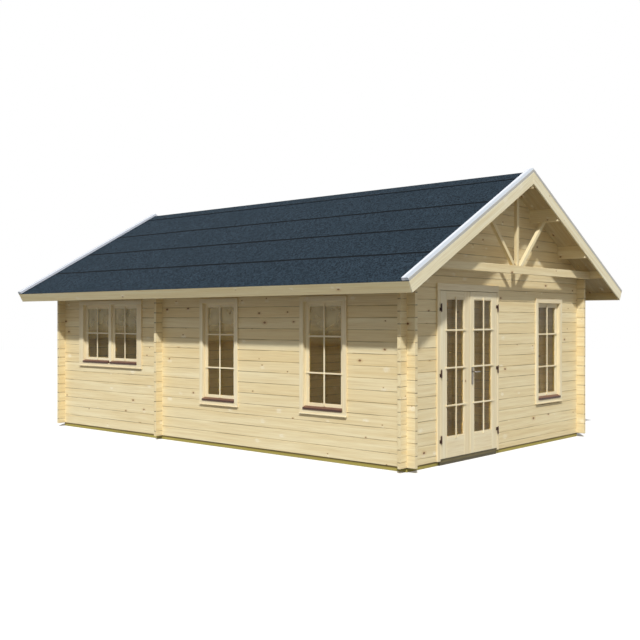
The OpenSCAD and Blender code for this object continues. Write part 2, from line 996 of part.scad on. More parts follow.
// Long plates on both faces of the right leaf, bored for the lever's neck
module handle_plates() {
  x0 = spindle_x - handle_plate_w / 2;
  z0 = spindle_z + handle_plate_top - handle_plate_h;
  color(steel)
    difference() {
      for (y = [leaf_y - handle_plate_t, leaf_y + leaf_t])
        along_y(y, y + handle_plate_t)
          translate([x0, z0])
            rounded_square([handle_plate_w, handle_plate_h], handle_plate_r);
      spindle(neck_d + 2 * fit);
    }
}

// Levers with round ends, inside and outside, on one spindle
module lever_handle() {
  outer = leaf_y - lever_y;
  inner = leaf_y + leaf_t + lever_y;
  bar_l = lever_l - lever_d / 2;
  color(steel) {
    spindle(spindle_d);
    for (y = [outer, inner])
      translate([spindle_x, y, spindle_z])
        rotate([0, 90, 0]) {
          cylinder(d = lever_d, h = bar_l);
          translate([0, 0, bar_l])
            sphere(d = lever_d);
        }
    for (y = [outer, inner - lever_y + fit])
      translate([spindle_x, y, spindle_z])
        rotate([-90, 0, 0])
          cylinder(d = neck_d, h = lever_y - fit);
  }
}

module front_window_frame() {
  color(trim_wood)
    on_front_wall(front_window_x)
      window_frame(tall_clear_w, tall_sill_z, false);
}

module front_window_casing() {
  color(trim_wood)
    on_front_wall(front_window_x)
      window_casing(tall_clear_w, tall_sill_z, casing_w);
}

module front_window_sash() {
  color(trim_wood)
    on_front_wall(front_window_x)
      sash(0, tall_sash_w, tall_sill_z);
}

module front_window_glass() {
  color(pane)
    on_front_wall(front_window_x)
      sash_glass(0, tall_sash_w, tall_sill_z);
}

module side_window_frames() {
  color(trim_wood) {
    for (y = [near_y, far_y])
      on_left_wall(y)
        window_frame(tall_clear_w, tall_sill_z, false);
    on_left_wall(double_y)
      window_frame(double_clear_w, double_sill_z, true);
  }
}

module side_window_casings() {
  color(trim_wood) {
    for (y = [near_y, far_y])
      on_left_wall(y)
        window_casing(tall_clear_w, tall_sill_z, casing_w);
    on_left_wall(double_y)
      window_casing(double_clear_w, double_sill_z, double_casing_w);
  }
}

module side_window_sashes() {
  color(trim_wood) {
    for (y = [near_y, far_y])
      on_left_wall(y)
        sash(0, tall_sash_w, tall_sill_z);
    on_left_wall(double_y)
      for (x = [-double_sash_x, double_sash_x])
        sash(x, double_sash_w, double_sill_z);
  }
}

module side_window_glass() {
  color(pane) {
    for (y = [near_y, far_y])
      on_left_wall(y)
        sash_glass(0, tall_sash_w, tall_sill_z);
    on_left_wall(double_y)
      for (x = [-double_sash_x, double_sash_x])
        sash_glass(x, double_sash_w, double_sill_z);
  }
}

module weather_bars() {
  color(dark_brown) {
    on_front_wall(front_window_x)
      weather_bar(0, tall_sash_w, tall_sill_z);
    for (y = [near_y, far_y])
      on_left_wall(y)
        weather_bar(0, tall_sash_w, tall_sill_z);
    on_left_wall(double_y)
      for (x = [-double_sash_x, double_sash_x])
        weather_bar(x, double_sash_w, double_sill_z);
  }
}

foundation_beams();
floor_bearers();
front_room_floor();
back_room_floor();
front_wall();
back_wall();
left_wall();
right_wall();
cross_wall();
ridge_purlin();
upper_purlins();
lower_purlins();
roof_deck_left();
roof_deck_right();
felt_left();
felt_right();
ridge_cap();
fascia_left();
fascia_right();
front_barge_boards();
back_barge_boards();
front_verge_trim();
back_verge_trim();
tie_beam();
king_post();
truss_struts();
door_frame();
door_threshold();
door_casing();
left_door_leaf();
left_door_glass();
left_leaf_hinges();
right_door_leaf();
right_door_glass();
right_leaf_hinges();
frame_hinges();
handle_plates();
lever_handle();
front_window_frame();
front_window_casing();
front_window_sash();
front_window_glass();
side_window_frames();
side_window_casings();
side_window_sashes();
side_window_glass();
weather_bars();
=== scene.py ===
# %% [markdown]
# # A spruce log cabin
# The cabin's construction arrives as a fixed frame: every log, board and pane is at its place, in metres.
# This lesson dresses that frame. Pieces whose shape is right keep their solids and get a finish.
# Pieces that need softer edges, boards or bars are made again from the frame's own corners.

# %% Load the frame
import math
from functools import partial

import bpy
import numpy as np
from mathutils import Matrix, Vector


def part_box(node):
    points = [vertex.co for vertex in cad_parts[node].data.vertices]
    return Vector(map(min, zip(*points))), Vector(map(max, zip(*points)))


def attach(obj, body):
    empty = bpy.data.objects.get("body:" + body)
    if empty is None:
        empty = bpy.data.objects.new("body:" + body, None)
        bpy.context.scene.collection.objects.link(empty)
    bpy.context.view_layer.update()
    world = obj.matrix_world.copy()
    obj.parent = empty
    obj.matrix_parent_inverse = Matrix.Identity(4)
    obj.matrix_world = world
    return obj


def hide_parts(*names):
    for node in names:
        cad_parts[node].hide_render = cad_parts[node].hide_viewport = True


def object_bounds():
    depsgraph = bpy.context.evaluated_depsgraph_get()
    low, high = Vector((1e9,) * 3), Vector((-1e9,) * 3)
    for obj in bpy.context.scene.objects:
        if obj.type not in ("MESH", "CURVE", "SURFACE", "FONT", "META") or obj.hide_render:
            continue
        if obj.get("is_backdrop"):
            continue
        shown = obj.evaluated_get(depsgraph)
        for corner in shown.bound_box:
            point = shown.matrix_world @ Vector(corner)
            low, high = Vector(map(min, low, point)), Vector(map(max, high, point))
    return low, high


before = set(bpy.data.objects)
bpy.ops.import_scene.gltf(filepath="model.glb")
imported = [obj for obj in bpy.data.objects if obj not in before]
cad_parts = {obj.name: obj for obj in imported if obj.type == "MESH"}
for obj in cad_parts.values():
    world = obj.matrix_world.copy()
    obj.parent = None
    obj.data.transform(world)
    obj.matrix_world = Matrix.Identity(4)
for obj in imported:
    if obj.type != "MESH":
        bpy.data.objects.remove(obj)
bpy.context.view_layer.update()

# %% [markdown]
# The camera takes the photograph's view: level, at eye height, off the corner beside the door.
# A level camera keeps upright edges upright, so only its turn about the vertical is set.

# %% Camera
EYE = (-10.0007, -9.0700, 1.6566)
EYE_TURN = -0.84665
LENS_MM = 51.24
SENSOR_MM = 36
LIFT = -0.0019

camera = bpy.data.objects.new("camera", bpy.data.cameras.new("camera"))
camera.location = EYE
camera.rotation_euler = (math.pi / 2, 0, EYE_TURN)
camera.data.sensor_width = SENSOR_MM
camera.data.lens = LENS_MM
camera.data.shift_y = LIFT
bpy.context.scene.collection.objects.link(camera)
bpy.context.scene.camera = camera
bpy.context.scene.view_settings.view_transform = "Standard"
print("camera at", EYE)

# %% [markdown]
# Every finish below is a small network of nodes. Colours are written as people pick them, in sRGB hex,
# and one function turns them to the linear values that light is counted in.
# One more function adds a node, sets it, feeds it and hands back one of its outputs. Mixing two colours
# and easing a range are asked for so often that their settings are kept as values. A mix takes its share
# at input 0 and its colours at 6 and 7. A range takes the value, its two limits, and the two limits
# that it is carried to, which are nought and one unless they are given.
# A third makes a material, and hands add, which puts nodes in its tree, to the function for its surface.

# %% Colours and nodes
RGBA = {"out": 2, "data_type": "RGBA"}
SMOOTH = {"interpolation_type": "SMOOTHSTEP"}


def linear(hex_colour):
    """sRGB to linear: a channel is c / 12.92 near black, and ((c + 0.055) / 1.055) to the power 2.4 above."""
    srgb = np.array([int(hex_colour[i:i + 2], 16) for i in (1, 3, 5)]) / 255
    rgb = np.where(srgb <= 0.04045, srgb / 12.92, ((srgb + 0.055) / 1.055) ** 2.4)
    return (*rgb.tolist(), 1.0)


def add_node(tree, kind, feeds=(), out=0, **settings):
    """Adds a node, feeds its inputs with values or other nodes' outputs, and returns one output.

    A second word in kind is the node's operation, as in "Math ADD".
    Feeds are a list in the order of the inputs, or go by the inputs' names or numbers.
    """
    kind, *operation = kind.split()
    made = tree.nodes.new("ShaderNode" + kind)
    for word in operation:
        made.operation = word
    for name, value in settings.items():
        setattr(made, name, value)
    for key, value in feeds.items() if isinstance(feeds, dict) else enumerate(feeds):
        if isinstance(value, bpy.types.NodeSocket):
            tree.links.new(value, made.inputs[key])
        else:
            made.inputs[key].default_value = value
    return made.outputs[out] if made.outputs else None


def finish(name, surface, *values, **more):
    """A material whose output shows what a function builds with add in its empty node tree."""
    material = bpy.data.materials.new(name)
    material.use_nodes = True
    material.node_tree.nodes.clear()
    add = partial(add_node, material.node_tree)
    add("OutputMaterial", {"Surface": surface(add, *values, **more)})
    return material


print("white is", linear("#FFFFFF"))

# %% [markdown]
# Spruce is a pale softwood. Planed along its length it shows long, slow bands of early and late wood,
# fine lines between them, and round brown knots where branches grew. A knot has a warm halo, and beside it
# the fibres turn towards the eye and catch the light as a pale patch.
# A picture of wood would repeat and blur. Noise stretched along the grain never repeats, and it only needs
# to know which way the grain runs: along the piece, across it, and a number that differs from piece to piece.

# %% Spruce
KNOT_LONG = 0.6
PATCH_SHIFT = (-0.06, 0.05, 0.0)
PATCH_SIZE = 1.9
PIECE_SHIFT = (7.1, 3.3, 11.0)
KNOTLESS = 10.0  # puts a sawn end out of reach of any knot
BANDS = (0.8, 24, 24)  # to a metre, along, across and deep
LINES = (3.0, 190, 190)  # 5 mm apart, coarser than real ones, so that they show
LATE_WOOD, BRIGHT_FIBRE, JOINT_SHADE = "#BD9C66", "#FFF6DE", "#5A4426"
KNOT_HALO, KNOT_CORE = "#CBA468", "#6E4524"


def wood(add, grain_of, pale, deep, honey, knot_gap=0.26, knot_size=0.016, rough=0.6):
    """Planed softwood: bands and lines are noise squeezed along the grain, knots are cell centres.

    grain_of gives the vector (along, across, depth) in metres, a number per piece from 0 to 1,
    how much painted shade a point gets where two logs meet, and one on a sawn end, where no knots are drawn.
    """
    grain, number, joint, sawn_end = grain_of(add)

    def from_spots(cells, channel, least, size):
        """Distance from the nearest cell's centre, counted in the size that its chance gives the cell."""
        spot = add("TexVoronoi", {"Vector": cells, "Scale": 1.0}, voronoi_dimensions="2D")
        chance = add("SeparateColor", [spot.node.outputs["Color"]], out=channel)
        reach = add("MapRange", [chance, least, 1.0, 0.001, size / knot_gap])
        away = add("Math DIVIDE", [spot, reach])
        return add("Math MULTIPLY_ADD", [sawn_end, KNOTLESS, away])

    own = add("VectorMath MULTIPLY_ADD", [number, PIECE_SHIFT, grain])

    cell = (KNOT_LONG / knot_gap, 1 / knot_gap, 0)
    on_cells = add("VectorMath MULTIPLY", [own, cell])
    ragged = add("TexNoise", {"Vector": own, "Scale": 60.0, "Detail": 1.0}, out="Color")
    on_cells = add("VectorMath MULTIPLY_ADD", [ragged, (0.03, 0.03, 0), on_cells])
    away = from_spots(on_cells, "Red", 0.42, knot_size)
    core = add("MapRange", [away, 0.6, 1.1, 1.0, 0.0], **SMOOTH)
    halo = add("MapRange", [away, 0.8, 3.0, 1.0, 0.0], **SMOOTH)
    shifted = add("VectorMath ADD", [on_cells, PATCH_SHIFT])
    shifted = add("VectorMath MULTIPLY_ADD", [ragged, (0.16, 0.10, 0), shifted])
    patch = from_spots(shifted, "Green", 0.25, PATCH_SIZE * knot_size)
    patch = add("MapRange", [patch, 0.3, 1.5, 0.75, 0.0], **SMOOTH)

    bulge = add("VectorMath MULTIPLY_ADD", [halo, (0, 0.012, 0), own])
    on_bands = add("VectorMath MULTIPLY", [bulge, BANDS])
    bands = add("TexNoise", {"Vector": on_bands, "Scale": 1.0, "Detail": 3.0, "Distortion": 0.4})
    on_lines = add("VectorMath MULTIPLY", [bulge, LINES])
    lines = add("TexNoise", {"Vector": on_lines, "Scale": 1.0, "Detail": 2.0})
    fibres = add("MapRange", [lines, 0.4, 0.6, 1.0, 0.25])
    patch = add("Math MULTIPLY", [patch, fibres])

    band_share = add("MapRange", [bands, 0.34, 0.70, 0.0, 0.8])
    honey_share = add("MapRange", [number, 0.3, 1.0, 0.0, 0.45])
    line_share = add("MapRange", [lines, 0.48, 0.72, 0.0, 0.3])
    halo_share = add("Math MULTIPLY", [halo, 0.4])
    core_share = add("Math MULTIPLY", [core, 0.9])
    colour = linear(pale)
    # The last tone is painted shade: it darkens the wood at the joints between logs and at the line under
    # them.
    for share, tone in (
        (band_share, deep), (honey_share, honey), (line_share, LATE_WOOD), (patch, BRIGHT_FIBRE),
        (halo_share, KNOT_HALO), (core_share, KNOT_CORE), (joint, JOINT_SHADE),
    ):
        colour = add("Mix", {0: share, 6: colour, 7: linear(tone)}, **RGBA)

    relief = add("Math MULTIPLY_ADD", [core, 0.6, lines])
    bump = add("Bump", {"Height": relief, "Strength": 0.3, "Distance": 0.0015})
    shine = add("MapRange", [lines, 0.3, 0.7, rough - 0.06, rough + 0.08])
    return add("BsdfPrincipled", {"Base Color": colour, "Roughness": shine, "Normal": bump})


print("late wood comes about every", round(1000 / BANDS[1]), "mm")

# %% [markdown]
# The wall logs keep their solids, so their grain is read from where each point is.
# A course is 135 mm high, so the height says which log a point belongs to, and a hash of that course
# and of the wall's place gives each log its own tone and its own stretch of tree.
# Where two logs meet, the joint is in shade, more where it is open than where it is tight, and that shade is
# painted on the wood, darkening it towards the joint by an uneven share. On the sawn ends the joint is
# widest, and there the noise is read by the distance from the log's heart instead, which turns the lines into
# year rings.

# %% Logs in courses
LOG_H = 0.135
JOINT_HALF = (0.003, 0.007)
FACE_JOINT = (0.12, 0.52)
END_JOINT = 0.4
END_FACING = 0.7
WALL_SHIFT = 0.3  # keeps both faces of a wall in the same metre
HEART_OFF = 0.03
side_wall_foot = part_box("left_wall")[0].z


def course_grain(axis, first_z, wall_off):
    """Grain along x or y, with a number for each course of height LOG_H counted from first_z.

    On the ends the second value is the distance from a heart beside the wall's middle,
    which is wall_off from the cabin's centre.
    """
    def grain_of(add):
        place = add("SeparateXYZ", [add("TexCoord", out="Object")]).node.outputs
        depth = place["Y" if axis == "X" else "X"]
        height = add("Math SUBTRACT", [place["Z"], first_z])
        course = add("Math DIVIDE", [height, LOG_H])
        course = add("Math FLOOR", [course])
        wall = add("Math ADD", [depth, WALL_SHIFT])
        wall = add("Math FLOOR", [wall])
        pair = add("CombineXYZ", {"X": course, "Y": wall})
        number = add("TexWhiteNoise", {"Vector": pair}, noise_dimensions="2D")

        # Painted shade: the wood darkens within a few millimetres of the joint between two courses.
        to_joint = add("Math PINGPONG", [height, LOG_H / 2])
        joint = add("MapRange", [to_joint, *JOINT_HALF, 1.0, 0.0])
        to_middle = add("Math SUBTRACT", [LOG_H / 2, to_joint])
        to_heart = add("Math ABSOLUTE", [depth])
        to_heart = add("Math SUBTRACT", [to_heart, wall_off - HEART_OFF])
        rings = add("CombineXYZ", {"X": to_middle, "Y": to_heart})
        rings = add("VectorMath LENGTH", [rings], out="Value")
        rings = add("CombineXYZ", {"X": place[axis], "Y": rings})
        grain = add("CombineXYZ", {"X": place[axis], "Y": place["Z"], "Z": depth})
        facing = add("SeparateXYZ", [add("NewGeometry", out="Normal")], out=axis)
        facing = add("Math ABSOLUTE", [facing])
        is_end = add("Math GREATER_THAN", [facing, END_FACING])
        uneven = add("TexNoise", {"Vector": add("TexCoord", out="Object"), "Scale": 2.2})
        open_share = add("MapRange", [uneven, 0.35, 0.65, *FACE_JOINT])
        open_share = add("Math MULTIPLY_ADD", [is_end, END_JOINT, open_share])
        joint = add("Math MULTIPLY", [joint, open_share], use_clamp=True)
        grain = add("Mix", {0: is_end, 4: grain, 5: rings}, out=1, data_type="VECTOR")
        return grain, number, joint, is_end
    return grain_of


LOG_TONES = {"pale": "#F5E7BD", "deep": "#E4CE9B", "honey": "#E7CC91"}
side_middle = sum(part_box("right_wall")[k].x for k in (0, 1)) / 2
gable_middle = sum(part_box("back_wall")[k].y for k in (0, 1)) / 2
gable_wall_foot = side_wall_foot - LOG_H / 2
side_logs = finish("spruce_side_logs", wood, course_grain("Y", side_wall_foot, side_middle), **LOG_TONES)
gable_logs = finish("spruce_gable_logs", wood, course_grain("X", gable_wall_foot, gable_middle), **LOG_TONES)


def finish_nodes(material, *nodes):
    """Gives CAD nodes, which keep their solids, one finish."""
    for node in nodes:
        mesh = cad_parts[node].data
        mesh.materials.clear()
        mesh.materials.append(material)


finish_nodes(side_logs, "left_wall", "right_wall")
finish_nodes(gable_logs, "front_wall", "back_wall", "cross_wall")
print("logs in courses of", LOG_H, "from", round(side_wall_foot, 3))

# %% [markdown]
# Boards, battens and frame members are sawn, planed and slightly eased along their edges.
# A bevel modifier could ease them, but the solids in the frame are loose triangles.
# So each member is made again from the corners of its own solid. First the solids of a node are told apart:
# points at one place become one point, and triangles pass on the smallest point number until all agree.

# %% Solids of a node
def solids_of(node):
    """The distinct points of each separate solid in a CAD node, as a list of arrays."""
    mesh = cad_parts[node].data
    points = np.empty(len(mesh.vertices) * 3)
    mesh.vertices.foreach_get("co", points)
    corners = np.empty(len(mesh.loops), int)
    mesh.loops.foreach_get("vertex_index", corners)
    places, point = np.unique(points.reshape(-1, 3).round(6), axis=0, return_inverse=True)
    triangles = point.reshape(-1)[corners].reshape(-1, 3)
    label = np.arange(len(places))
    while True:
        lower = label.copy()
        np.minimum.at(lower, triangles.ravel(), np.repeat(label[triangles].min(axis=1), 3))
        if (lower == label).all():
            return [places[label == number] for number in np.unique(label)]
        label = lower


def boxes_of(*nodes):
    """Lowest and highest corners of all the solids in some nodes, as two arrays."""
    solids = [solid for node in nodes for solid in solids_of(node)]
    return np.array([s.min(axis=0) for s in solids]), np.array([s.max(axis=0) for s in solids])


print("left wall:", len(solids_of("left_wall")), "logs")

# %% [markdown]
# A mesh becomes a piece of the cabin when it has a finish and a body that carries it.
# Its grain travels with it as an attribute: metres along, metres across, and the piece's own number.

# %% Making a piece
def make_piece(name, points, faces, material, slot, body="cabin", replaces=(), grain=None, smooth=False):
    """A mesh object at the origin that rides on a body and may stand for CAD nodes."""
    mesh = bpy.data.meshes.new(name)
    mesh.from_pydata(np.asarray(points).tolist(), [], faces)
    if grain is not None:
        mesh.attributes.new("grain", "FLOAT_VECTOR", "POINT").data.foreach_set("vector", grain.ravel())
    mesh.polygons.foreach_set("use_smooth", [smooth] * len(faces))
    mesh.materials.append(material)
    piece = bpy.data.objects.new(name, mesh)
    bpy.context.scene.collection.objects.link(piece)
    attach(piece, body)
    if replaces:
        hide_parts(*replaces)
    print(name, len(faces), "faces")
    return piece


def carried_grain(add):
    """The grain that a piece carries in its attribute, the number in it, no painted shade and no sawn end."""
    grain = add("Attribute", out="Vector", attribute_name="grain")
    return grain, add("SeparateXYZ", [grain], out="Z"), 0.0, 0.0


# %% [markdown]
# An eased box has 24 points: each corner is split in three, one on each face that meets there.
# The faces are worked out once on a unit box, and turned outwards by looking at their own normals.
# Any number of members is then one array operation.

# %% Eased boxes
SIGNS = np.array([[x, y, z] for x in (-1, 1) for y in (-1, 1) for z in (-1, 1)])
OWN_TREE = 5  # metres of tree that the pieces' numbers are spread over
rng = np.random.default_rng(7)


def outward(faces):
    """Turns the faces of the unit eased box so that each normal points away from its centre."""
    unit = (SIGNS[:, None, :] * (0.8 + 0.2 * np.eye(3))).reshape(-1, 3)
    corner = unit[faces]
    normal = np.cross(corner[:, 1] - corner[:, 0], corner[:, 2] - corner[:, 0])
    inside = (normal * corner.mean(axis=1)).sum(axis=1) < 0
    return np.where(inside[:, None], faces[:, ::-1], faces)


def corner_number(axis, sign, first, second):
    """Number of the unit box's corner with these signs along an axis and the two that follow it."""
    wanted = np.zeros(3)
    wanted[[axis, (axis + 1) % 3, (axis + 2) % 3]] = sign, first, second
    return int(np.argmin(np.abs(SIGNS - wanted).sum(axis=1)))


ROUND = [(-1, -1), (1, -1), (1, 1), (-1, 1)]
BOX_SIDES = [[3 * corner_number(k, s, a, b) + k for a, b in ROUND] for k in range(3) for s in (-1, 1)]
BOX_EDGES = [
    [3 * corner_number(k, s, a, b) + (k + n) % 3 for s, n in ((-1, 1), (1, 1), (1, 2), (-1, 2))]
    for k in range(3) for a, b in ROUND
]
BOX_QUADS = outward(np.array(BOX_SIDES + BOX_EDGES))
BOX_TRIANGLES = outward(np.arange(24).reshape(8, 3))


def boards(name, low, high, material, slot, ease=0.003, along=None, place=None, **more):
    """Eased boxes: a point is the box's centre plus its signed half size, less the easing off its own face.

    The grain runs along the longest side unless along gives an axis; across is the sum of the other two.
    """
    low, high = np.atleast_2d(low), np.atleast_2d(high)
    count = len(low)
    pull = ease * (1 - np.eye(3))
    half = (high - low)[:, None, None, :] / 2 - pull
    centre = (high + low)[:, None, None, :] / 2
    points = (centre + SIGNS[None, :, None, :] * half).reshape(count, 24, 3)
    axis = np.argmax(high - low, axis=1) if along is None else np.full(count, along)
    is_along = np.eye(3)[axis][:, None, :]
    number = rng.random(count)[:, None]
    grain = np.stack([
        (points * is_along).sum(axis=2),
        (points * (1 - is_along)).sum(axis=2) + OWN_TREE * number,
        np.broadcast_to(number, (count, 24)),
    ], axis=2)
    start = 24 * np.arange(count)[:, None, None]
    faces = (BOX_QUADS + start).reshape(-1, 4).tolist() + (BOX_TRIANGLES + start).reshape(-1, 3).tolist()
    points = points.reshape(-1, 3)
    if place is not None:
        points = place(points)
    return make_piece(name, points, faces, material, slot, grain=grain.reshape(-1, 3), **more)


print("eased box:", len(BOX_QUADS), "quads and", len(BOX_TRIANGLES), "triangles")

# %% [markdown]
# The door and window timber is finer than the logs: close-grained spruce with few, small knots,
# sanded before it is fitted. The linings, casings, leaves and sashes are all plain members with eased edges.
# A sill board has a thin drip strip along its foot, so its deeper solid is read as two members.

# %% Frames, casings, leaves and sashes
FRAME_TONES = {"pale": "#F5EAC8", "deep": "#EAD9AE", "honey": "#EBD4A4"}
joinery = finish("sanded_spruce_joinery", wood, carried_grain, **FRAME_TONES,
                 knot_gap=0.62, knot_size=0.011, rough=0.52)

for node in (
    "door_frame", "front_window_frame", "side_window_frames", "front_window_sash", "side_window_sashes",
):
    boards(node + "_members", *boxes_of(node), joinery, "frame_wood", ease=0.002, replaces=[node])
boards("door_casing_boards", *boxes_of("door_casing"), joinery, "trim_wood", replaces=["door_casing"])
for side in ("left", "right"):
    node = side + "_door_leaf"
    boards(node + "_members", *boxes_of(node), joinery, "frame_wood",
           body=side + "_leaf", replaces=[node])

CASING_T = 0.020
LIP_T = 0.008
LIP_H = 0.012


def casing_boards(node, axis):
    """Casing boards with a drip strip, where the wall's outer side is the low side of an axis."""
    low, high = boxes_of(node)
    depth = high[:, axis] - low[:, axis]
    is_sill = depth > CASING_T + LIP_T / 2
    lip_low, lip_high = low[is_sill].copy(), high[is_sill].copy()
    low[:, axis] = high[:, axis] - CASING_T
    lip_high[:, axis] = high[is_sill][:, axis] - CASING_T
    lip_high[:, 2] = lip_low[:, 2] + LIP_H
    boards(node + "_boards", low, high, joinery, "trim_wood", replaces=[node])
    boards(node + "_drip_strips", lip_low, lip_high, joinery, "trim_wood", ease=0.002)


casing_boards("front_window_casing", 1)
casing_boards("side_window_casings", 0)

# %% [markdown]
# The panes are divided by a lattice of slim bars that lies on the outer face of the sash or the leaf and runs
# a little way over its stiles and rails. The bars are 430 mm apart, centred on the glass,
# so the number that fits follows from the height of the glass.
# A thin bead round each pane holds it in its rebate.

# %% Glazing bars and beads
BAR_W = 0.0195
BAR_GAP = 0.430
BAR_SPARE = 0.2  # share of a gap that the last bar can do without
BAR_T = 0.011
OVER_STILE = 0.028
OVER_RAIL = 0.022
BEAD_W = 0.009
BEAD_SINK = 0.003


def strip(axis, across, deep, level):
    """The box between pairs of edges: along the pane's own axis, into the wall and up."""
    box = np.empty((2, 3))
    box[:, axis], box[:, 1 - axis], box[:, 2] = across, deep, level
    return box


def lattice(low, high, axis, face):
    """Bars over a pane that spans axis and z: one upright in the middle, level ones cut round it."""
    middle = (low + high) / 2
    count = int((high[2] - low[2]) / BAR_GAP + BAR_SPARE)
    levels = middle[2] + BAR_GAP * (np.arange(count) - (count - 1) / 2)
    left, right = middle[axis] - BAR_W / 2, middle[axis] + BAR_W / 2
    deep = face - BAR_T, face
    bars = [strip(axis, (left, right), deep, (low[2] - OVER_RAIL, high[2] + OVER_RAIL))]
    for z in levels:
        level = z - BAR_W / 2, z + BAR_W / 2
        bars.append(strip(axis, (low[axis] - OVER_STILE, left), deep, level))
        bars.append(strip(axis, (right, high[axis] + OVER_STILE), deep, level))
    return bars


def beads(low, high, axis, face):
    """Four strips along the edges of a pane, between the glass and a little behind the outer face."""
    deep = face + BEAD_SINK, low[1 - axis]
    left, right, foot, head = low[axis], high[axis], low[2], high[2]
    inner = left + BEAD_W, right - BEAD_W
    return [
        strip(axis, (left, left + BEAD_W), deep, (foot, head)),
        strip(axis, (right - BEAD_W, right), deep, (foot, head)),
        strip(axis, inner, deep, (foot, foot + BEAD_W)),
        strip(axis, inner, deep, (head - BEAD_W, head)),
    ]


for frame_node, glass_node, axis, body in (
    ("front_window_sash", "front_window_glass", 0, "cabin"),
    ("side_window_sashes", "side_window_glass", 1, "cabin"),
    ("left_door_leaf", "left_door_glass", 0, "left_leaf"),
    ("right_door_leaf", "right_door_glass", 0, "right_leaf"),
):
    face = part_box(frame_node)[0][1 - axis]
    panes = list(zip(*boxes_of(glass_node)))
    for kind, shapes in (("_bars", lattice), ("_beads", beads)):
        boxes = np.array([box for low, high in panes for box in shapes(low, high, axis, face)])
        boards(glass_node + kind, boxes[:, 0], boxes[:, 1], joinery, "frame_wood", ease=0.002, body=body)

# %% [markdown]
# The roof is boarded down the slope with narrow tongued boards. Their eased edges show as lines
# under the eaves. Their boxes are laid out flat, as metres down the slope, along the ridge and up from
# the boards' underside, and then turned onto the slope. The left slope is the right one turned half round,
# so nothing is mirrored.

# %% Roof boards
BOARD_W = 0.102
deck_points = solids_of("roof_deck_right")[0]
ridge_edge = deck_points[np.lexsort((deck_points[:, 2], deck_points[:, 0]))[0]]
eave_edge = deck_points[np.argmin(deck_points[:, 2])]
slope_run, slope_fall = eave_edge[0] - ridge_edge[0], ridge_edge[2] - eave_edge[2]
slope_l = math.hypot(slope_run, slope_fall)
DOWN = np.array([slope_run / slope_l, 0, -slope_fall / slope_l])
UP = np.array([slope_fall / slope_l, 0, slope_run / slope_l])
TURN = {"right": 1, "left": -1}


def on_slope(points, side):
    """Metres down the slope, along the ridge and square to the boards, turned onto one side of the roof."""
    ridge = np.array([ridge_edge[0], 0, ridge_edge[2]])
    laid = ridge + points[:, :1] * DOWN + points[:, 1:2] * [0, 1, 0] + points[:, 2:] * UP
    return laid * [TURN[side], TURN[side], 1]


def cut_across(low, high, width):
    """A box cut along y into equal boards of about this width, as lowest and highest corners."""
    count = round((high[1] - low[1]) / width)
    edges = np.linspace(low[1], high[1], count + 1)
    lows, highs = np.tile(low, (count, 1)), np.tile(high, (count, 1))
    lows[:, 1], highs[:, 1] = edges[:-1], edges[1:]
    return lows, highs


deck_t = float(np.ptp((deck_points - ridge_edge) @ UP))
deck_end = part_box("roof_deck_right")[1].y
deck = cut_across([0.0, -deck_end, 0.0], [slope_l, deck_end, deck_t], BOARD_W)
# The roof boards take darker tones than the other spruce: painted shade, for their undersides under the
# eaves.
roof_wood = finish("spruce_roof_boards", wood, carried_grain, "#CBBB92", "#BDA678", "#BFA576")
for side in ("left", "right"):
    boards(f"roof_boards_{side}", *deck, roof_wood, "roof_wood", ease=0.004,
           place=lambda points, side=side: on_slope(points, side), replaces=["roof_deck_" + side])
print("pitch", round(math.degrees(math.atan2(slope_fall, slope_run)), 2), "degrees")

# %% [markdown]
# The floors are the same kind of board, laid across the bearers from wall to wall.

# %% Floor boards
floor_wood = finish("spruce_floor_boards", wood, carried_grain, "#DEC085", "#C9A566", "#CCA563", rough=0.55)
FLOOR_BOARD_W = 0.088
for node in ("front_room_floor", "back_room_floor"):
    cut = cut_across(*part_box(node), FLOOR_BOARD_W)
    boards(node + "_boards", *cut, floor_wood, "floor_wood", ease=0.0015, replaces=[node])

# %% [markdown]
# The beams that the cabin stands on are pressure-treated, which stains the softwood olive green.
# They stand back under the first log, whose shadow is painted as a dark line along their upper edge.

# %% Treated beams
BEAM_LINE = 0.018
LINE_FADE = 0.004
beam_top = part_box("foundation_beams")[1].z


def beam_grain(add):
    """The carried grain, with the first log's shadow painted dark along the beams' upper edge."""
    grain, number, _, sawn_end = carried_grain(add)
    z = add("SeparateXYZ", [add("TexCoord", out="Object")], out="Z")
    # Painted shadow of the first log on the beam's upper edge.
    line = beam_top - BEAM_LINE
    joint = add("MapRange", [z, line - LINE_FADE, line + LINE_FADE, 0.0, 0.6])
    return grain, number, joint, sawn_end


treated = finish("green_treated_softwood", wood, beam_grain, "#B3A652", "#958940", "#9E9246", rough=0.7)
for node in ("foundation_beams", "floor_bearers"):
    boards(node + "_sawn", *boxes_of(node), treated, "treated_wood", ease=0.004, replaces=[node])

# %% [markdown]
# Purlins, truss timbers, barge boards and fascias are prisms: one outline in x and z, carried along y.
# Each outline is read from its own solid and set in a little at both faces, which eases the rim.

# %% Eased prisms
def outline_of(solid):
    """The corners of a solid's outline in x and z, in order round its middle."""
    flat = np.unique(solid[:, [0, 2]].round(5), axis=0)
    spread = flat - flat.mean(axis=0)
    return flat[np.argsort(np.arctan2(spread[:, 1], spread[:, 0]))]


def inset(outline, by):
    """A convex outline with each edge moved in: moved neighbours n.p = d are solved for their crossing."""
    edge = np.roll(outline, -1, axis=0) - outline
    normal = np.stack([edge[:, 1], -edge[:, 0]], axis=1) / np.linalg.norm(edge, axis=1)[:, None]
    reach = (normal * outline).sum(axis=1) - by
    sides = np.stack([np.roll(normal, 1, axis=0), normal], axis=1)
    return np.linalg.solve(sides, np.stack([np.roll(reach, 1), reach], axis=1)[..., None])[..., 0]


